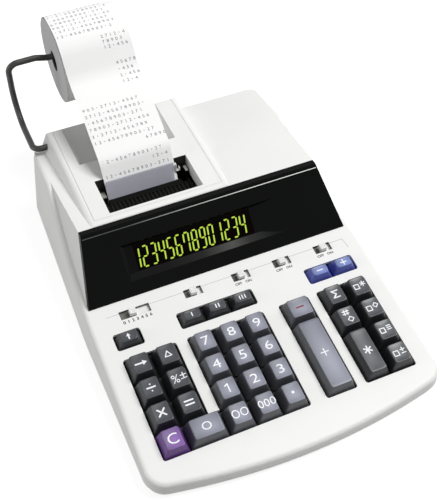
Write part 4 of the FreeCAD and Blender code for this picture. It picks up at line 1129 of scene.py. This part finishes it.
class StageStep(bpy.types.Operator):
    """Camera at the photograph's angle, pale floor and soft lamps."""

    bl_idname = "calculator.stage"
    bl_label = "Stage"

    def execute(self, context):
        looks = props("stage")
        scene = context.scene
        scene.view_settings.view_transform = "Standard"
        camera = link("camera", bpy.data.cameras.new("camera"))
        camera.data.lens = looks.focal
        camera.data.sensor_width = 36.0
        camera.location = at(*CAMERA_PLACE)
        camera.rotation_euler = [math.radians(a) for a in CAMERA_TURN]
        scene.camera = camera
        self.floor()
        self.sky(scene, looks.sky)
        self.lamp("main_lamp", (1.4, -0.35, 2.6), 1.6, looks.lamp)
        self.lamp("left_lamp", (-2.8, 0.4, 0.8), 1.5, looks.side_lamp)
        return {"FINISHED"}

    def floor(self):
        """A grey floor that the eye, gloss and glass see as white, with the shadow left on it."""
        material, tree, shader = new_material("pale_floor")
        feed(tree, shader, {"Base Color": (0.35, 0.35, 0.35, 1), "Roughness": 0.9, SPECULAR: 0.0})
        white, none = [add(tree, "ShaderNodeEmission", {"Strength": power}) for power in (1.0, 0.0)]
        share = add(tree, "ShaderNodeMath", {0: self.white_rays(tree), 1: FLOOR_GLOW}, operation="MULTIPLY")
        mix = self.mixed(tree, share.outputs["Value"], none.outputs["Emission"], white.outputs["Emission"])
        both = add(tree, "ShaderNodeAddShader", {0: shader.outputs["BSDF"], 1: mix})
        feed(tree, tree.nodes["Material Output"], {"Surface": both.outputs["Shader"]})
        corners = [(x * FLOOR_HALF, y * FLOOR_HALF, 0) for x, y in ((-1, -1), (1, -1), (1, 1), (-1, 1))]
        mesh_piece("floor", corners, [(0, 1, 2, 3)], material)

    def white_rays(self, tree):
        """One for rays from the eye, from gloss or through glass, and nought for all others."""
        light = add(tree, "ShaderNodeLightPath").outputs
        either = add(tree, "ShaderNodeMath", {0: light["Is Camera Ray"], 1: light["Is Glossy Ray"]},
                     operation="MAXIMUM")
        return add(tree, "ShaderNodeMath", {0: either.outputs["Value"], 1: light["Is Transmission Ray"]},
                   operation="MAXIMUM").outputs["Value"]

    def mixed(self, tree, share, first, second):
        return add(tree, "ShaderNodeMixShader", {"Fac": share, 1: first, 2: second}).outputs["Shader"]

    def sky(self, scene, strength):
        """Even light, seen as white."""
        world = bpy.data.worlds.new("even_sky")
        scene.world = world
        world.use_nodes = True
        tree = world.node_tree
        light = tree.nodes["Background"]
        feed(tree, light, {"Color": (1, 1, 1, 1), "Strength": strength})
        seen = add(tree, "ShaderNodeBackground", {"Color": (1, 1, 1, 1), "Strength": 1.0})
        mix = self.mixed(tree, self.white_rays(tree), light.outputs["Background"], seen.outputs["Background"])
        feed(tree, tree.nodes["World Output"], {"Surface": mix})

    def lamp(self, name, place, size, power):
        light = bpy.data.lights.new(name, "AREA")
        light.shape = "DISK"
        light.size = size
        light.energy = power
        lamp = link(name, light)
        lamp.location = place
        lamp.rotation_euler = (-Vector(place)).to_track_quat("-Z", "Y").to_euler()


# Slots of the slide switches along the deck: middle and half width, in millimetres
DECIMAL_X = -73.9
SLOTS = ((DECIMAL_X, 11.6), (-28.1, 7.0), (10.7, 7.0), (44.7, 7.0), (79.7, 7.0))
SLOT_V, SLOT_HALF, SLOT_DEPTH = 140.4, 4.2, 9.0
DECK_FACE = -0.3 * MM
WINDOW_REAR_Y = 79.0


class CaseStep(bpy.types.Operator):
    """Moulded case, tray, cover, feet and screws."""

    bl_idname = "calculator.case"
    bl_label = "Case"

    def execute(self, context):
        shell = shell_plastic()
        for node, name in (("upper_case", "case_top"), ("lower_case", "case_tray"),
                           ("printer_cover", "case_cover")):
            dressed(node, name, shell)
        # Painted shade on the rear wall of the paper window.
        inside = plastic("cover_window_wall_painted_shade", (0.010, 0.010, 0.009), 0.15, 0.5)
        front, rear = at(0, WINDOW_REAR_Y - 1.0, 0).y, at(0, WINDOW_REAR_Y + 1.0, 0).y
        paint(bpy.data.objects["case_cover"], inside, lambda p, n: n.y < -0.8 and front < p.y < rear)
        # Painted shade on the walls and floors of the switch slots.
        paint(bpy.data.objects["case_top"], slot_plastic(), lambda p, n: self.in_slot(DECK.inverted() @ p))
        rubber = plastic("black_rubber", (0.016, 0.016, 0.017), 0.2, 0.7, 1500.0, 0.00003)
        dressed("rubber_feet", "soft_feet", rubber)
        steel = metal("plated_steel", (0.55, 0.55, 0.56), 0.3)
        dressed("case_screws", "tray_screws", steel)
        return {"FINISHED"}

    def in_slot(self, place):
        """Whether a point in deck metres lies in one of the switch slots, under the deck's face."""
        sunk = -SLOT_DEPTH * MM < place.z < DECK_FACE
        behind = abs(place.y - SLOT_V * MM) < SLOT_HALF * MM
        return sunk and behind and any(abs(place.x - x * MM) < (half + 0.4) * MM for x, half in SLOTS)


class DisplayStep(bpy.types.Operator):
    """Polished display front, window and lit digits."""

    bl_idname = "calculator.display"
    bl_label = "Display"

    def execute(self, context):
        front = dressed("display_bezel", "display_front", gloss_black())
        # Painted reflection: the right bevel is coloured a lighter green-black than the rest of the front.
        right_bevel_painted_sheen = gloss_black("black_right_bevel_painted_sheen", (0.007, 0.010, 0.009), 0.25, 0.12)
        # Painted highlight: a grey gradient on the lower bevel under the digits.
        paint(front, lit_bevel(), lambda p, n: n.dot(SLOPE_UP) > 0.2 and self.on_bevel(p, n))
        paint(front, right_bevel_painted_sheen, lambda p, n: n.x < -0.2 and self.on_bevel(p, n))
        pane = (0.2, 0.2, 50.0, 0.000001, 0.0)
        glass = plastic("display_glass", (0.004, 0.003, 0.003), *pane, Specular_IOR_Level=0.1)
        dressed("display_tube", "display_window", glass)
        tint = plastic("display_filter", (0.0022, 0.0007, 0.0007), *pane, Specular_IOR_Level=0.02)
        slope_strip("display_filter_pane", *FILTER_PANE, RECESS_FLOOR, PANE_FACE, tint)
        display_digits()
        # Painted highlight along the top edge of the display front.
        slope_strip("display_painted_highlight_line", *PAINTED_HIGHLIGHT_LINE, -0.05, 0.06, edge_trim())
        return {"FINISHED"}

    def on_bevel(self, point, normal):
        """Whether a face lies on the bevels round the display's window."""
        place = SLOPE.inverted() @ point
        sunk = place.z < -0.05 * MM and 5.0 * MM < place.y < 46.0 * MM
        return sunk and 0.3 < normal.dot(SLOPE_OUT) < 0.98


class KeyStep(bpy.types.Operator):
    """All keys with their legends."""

    bl_idname = "calculator.keys"
    bl_label = "Keys"

    def execute(self, context):
        for node in sorted(frame["nodes"]):
            if node.startswith("key_") and node != "key_frame":
                key_cap(node)
                key_legend(node)
        return {"FINISHED"}


# Print and ridges round the switches, in millimetres on the deck
FIGURE_PITCH, FIGURE_V = 3.4, 134.2
FIGURE_HEIGHT, WORD_HEIGHT, PRINT_STRETCH, PRINT_WEIGHT = 2.6, 2.2, 1.1, 0.03
LINE_LEFT, LINE_RIGHT, LINE_V, LINE_DROP, LINE_WIDTH = -95.0, 98.0, 142.6, 9.0, 0.4
KNOB_RIDGE = (0.5 * MM, 4.4 * MM, 0.5 * MM)
KNOB_RIDGE_PITCH, KNOB_HALF = 1.4 * MM, 2.5 * MM


class SwitchStep(bpy.types.Operator):
    """Slide switches with ribbed knobs, and the print beside them."""

    bl_idname = "calculator.switches"
    bl_label = "Switches"

    def execute(self, context):
        for node in sorted(frame["nodes"]):
            if node.startswith("switch_"):
                self.slider(node, shell_plastic())
        self.figures()
        self.outline()
        return {"FINISHED"}

    def slider(self, node, shell):
        """A switch with painted shade on its plate in the slot at the left of the knob, with three grip
        ridges on the knob.
        """
        low, high = deck_box(node)
        middle = (low.x + high.x) / 2
        edge = middle - KNOB_HALF
        slider = dressed(node, node + "_slider", shell, cut=edge)
        paint(slider, slot_plastic(), lambda p, n: p.x < edge and (DECK.inverted() @ p).z < DECK_FACE)
        start = DECK @ Vector((middle - KNOB_RIDGE_PITCH, (low.y + high.y) / 2, high.z))
        ridges = bar_row(node + "_ridges", KNOB_RIDGE[0] / 5, count=3, pitch=KNOB_RIDGE_PITCH,
                         size=KNOB_RIDGE, start=start, turn=(DECK_ANGLE, 0, 0), material=shell)
        seat(ridges, BODY_OF[node], slot="case_white")

    def outline(self):
        """The fine line pressed into the deck behind the keys, stopping at each slot."""
        ends = [LINE_LEFT]
        for x, half in SLOTS:
            ends += [x - half, x + half]
        ends.append(LINE_RIGHT)
        strokes = [(a, LINE_V, b, LINE_V) for a, b in zip(ends[::2], ends[1::2])]
        strokes.append((LINE_RIGHT, LINE_V, LINE_RIGHT + 1.0, LINE_V - LINE_DROP))
        shadow = ink("pressed_line_shadow", (0.50, 0.50, 0.48), 0.6)
        slab("deck_line", strokes_outline(strokes, LINE_WIDTH), DECK, -0.02, 0.03, shadow)

    def figures(self):
        """Plain figures along the first switch, and the two words of the on and off switches."""
        first = DECIMAL_X - 3 * FIGURE_PITCH
        marks = [(str(i), FIGURE_HEIGHT, first + i * FIGURE_PITCH) for i in range(7)]
        for x, half in SLOTS[2:]:
            marks += [("OFF", WORD_HEIGHT, x - 4.4), ("ON", WORD_HEIGHT, x + 3.6)]
        parts = [(text_outline(text, height, PRINT_STRETCH, PRINT_WEIGHT), x, FIGURE_V)
                 for text, height, x in marks]
        black = ink("case_print_ink", (0.035, 0.035, 0.04), 0.6)
        slab("deck_figures", joined(*parts), DECK, -0.02, 0.03, black)


# The clear bar in front of the tape: its line beside the tape and its plate, in millimetres
TEAR = plane(0, 69.9, 66.0, math.radians(60.9))
TEAR_LEFT, TEAR_RIGHT_LOW, TEAR_RIGHT_HIGH = -60.5, -7.2, -5.2
TEAR_LOW, TEAR_HIGH, TEAR_NEAR, TEAR_FAR = -1.0, 14.2, 1.0, 2.2
TOOTH_PITCH, TOOTH_HEIGHT = 1.5, 0.7
TEAR_POSTS = (((-62.0, 62.7, 66.0), (-2.0, 68.3, 66.9)), ((3.2, 71.0, 60.0), (5.4, 77.0, 70.2)),
              ((-4.4, 72.0, 62.0), (-0.6, 75.0, 71.5)), ((-66.0, 70.0, 60.0), (-62.0, 76.0, 67.6)))
TEAR_CLIPS = (((3.2, 71.0, 70.1), (5.4, 77.0, 71.0)), ((-4.4, 72.2, 71.4), (-0.8, 74.8, 72.2)),
              ((-4.4, 72.2, 72.0), (-3.5, 74.8, 78.6)), ((-1.5, 72.2, 71.6), (-0.8, 74.8, 74.4)))
TEAR_LEFT_CLIP = (((-66.0, 70.0, 67.5), (-62.0, 76.0, 69.0)),)
GUIDE_TOP = 66.5 * MM


def tear_edge():
    """Smoky clear plate with a fine toothed top edge."""
    count = int((TEAR_RIGHT_HIGH - TEAR_LEFT) / TOOTH_PITCH)
    step = (TEAR_RIGHT_HIGH - TEAR_LEFT) / count
    outline = [(TEAR_LEFT, TEAR_LOW), (TEAR_RIGHT_LOW, TEAR_LOW)]
    for i in range(count, 0, -1):
        outline.append((TEAR_LEFT + i * step, TEAR_HIGH - TOOTH_HEIGHT))
        outline.append((TEAR_LEFT + (i - 0.5) * step, TEAR_HIGH))
    outline.append((TEAR_LEFT, TEAR_HIGH - TOOTH_HEIGHT))
    smoke = plastic("smoked_clear_plastic", (0.43, 0.43, 0.50), 0.06, 0.12, 500.0, 0.000001, 0.0,
                    Alpha=0.55, IOR=1.45)
    slab("tear_edge", one_face(outline), TEAR, TEAR_NEAR, TEAR_FAR, smoke, "tear_bar", slot="smoke_clear")


class PrinterStep(bpy.types.Operator):
    """Printer parts that show through the paper window."""

    bl_idname = "calculator.printer"
    bl_label = "Printer"

    def execute(self, context):
        black = plastic("black_moulding", (0.0035, 0.0035, 0.0032), 0.25, 0.5, 1500.0, 0.00001,
                        Specular_IOR_Level=0.06)
        rubber = plastic("platen_rubber", (0.02, 0.02, 0.02), 0.2, 0.65, 1500.0, 0.00001)
        steel = metal("motor_steel", (0.5, 0.5, 0.51), 0.35)
        board = plastic("board_lacquer", (0.02, 0.11, 0.05), 0.3, 0.3, 700.0, 0.00001)
        well = plastic("key_well_shadow", (0.012, 0.012, 0.013), 0.1, 0.6)
        for node, name, material in (
            ("printer_frame", "printer_chassis", black), ("print_carriage", "print_head", black),
            ("drive_pinion", "motor_pinion", black), ("platen_roller", "rubber_platen", rubber),
            ("ribbon_spool_left", "left_ribbon_spool", black),
            ("ribbon_spool_right", "right_ribbon_spool", black),
            ("printer_motor", "paper_motor", steel), ("circuit_boards", "printed_boards", board),
            ("key_frame", "key_guide_plate", well),
        ):
            dressed(node, name, material)
        chassis = bpy.data.objects["printer_chassis"]
        # Painted highlight on the tops of the guide ribs.
        rib_tops = plastic("guide_rib_tops_painted_highlight", (0.012, 0.0115, 0.010), 0.3, 0.5, 1500.0, 0.00001, 0.0,
                           Specular_IOR_Level=0.1)
        paint(chassis, rib_tops, lambda p, n: n.z > 0.9 and p.z > GUIDE_TOP)
        tear_edge()
        blocks_piece("tear_bar_posts", TEAR_POSTS, 0.25, black)
        blocks_piece("tear_bar_clips", TEAR_CLIPS, 0.2, plastic("white_clip", (0.80, 0.80, 0.79), 0.04, 0.4))
        blocks_piece("tear_bar_left_clip", TEAR_LEFT_CLIP, 0.2,
                     plastic("grey_clip", (0.24, 0.25, 0.22), 0.1, 0.45))
        return {"FINISHED"}


class PaperStep(bpy.types.Operator):
    """Wound roll, printed tape and its figures."""

    bl_idname = "calculator.paper"
    bl_label = "Paper"

    def execute(self, context):
        paper_roll()
        tape = paper_tape()
        figures = tape_print()
        for piece in (tape, figures):
            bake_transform(piece)
        return {"FINISHED"}


class ArmStep(bpy.types.Operator):
    """Bent rod that carries the paper roll."""

    bl_idname = "calculator.arm"
    bl_label = "Paper arm"

    def execute(self, context):
        coat = plastic("black_coated_rod", (0.020, 0.020, 0.018), 0.15, 0.32, 1200.0, 0.000006, 0.0)
        dressed("paper_arm", "roll_arm", coat, crease=60.0)
        return {"FINISHED"}


class CalculatorPanel(bpy.types.Panel):
    """Lists the steps in the sidebar."""

    bl_idname = "VIEW3D_PT_calculator"
    bl_label = "Printing Calculator"
    bl_space_type = "VIEW_3D"
    bl_region_type = "UI"
    bl_category = "Calculator"

    def draw(self, context):
        for step in STEPS:
            self.layout.operator(step.bl_idname)


LOOKS = {"case": CaseLooks, "keys": KeyLooks, "display": DisplayLooks, "paper": PaperLooks,
         "stage": StageLooks}
STEPS = (StageStep, CaseStep, DisplayStep, KeyStep, SwitchStep, PrinterStep, PaperStep, ArmStep)


def register():
    for name, looks in LOOKS.items():
        bpy.utils.register_class(looks)
        setattr(bpy.types.Scene, "calculator_" + name, PointerProperty(type=looks))
    for step in STEPS:
        bpy.utils.register_class(step)
    bpy.utils.register_class(CalculatorPanel)


def unregister():
    bpy.utils.unregister_class(CalculatorPanel)
    for step in reversed(STEPS):
        bpy.utils.unregister_class(step)
    for name, looks in reversed(LOOKS.items()):
        delattr(bpy.types.Scene, "calculator_" + name)
        bpy.utils.unregister_class(looks)


def main():
    register()
    for step in STEPS:
        group, action = step.bl_idname.split(".")
        getattr(getattr(bpy.ops, group), action)()


if __name__ == "__main__":
    main()
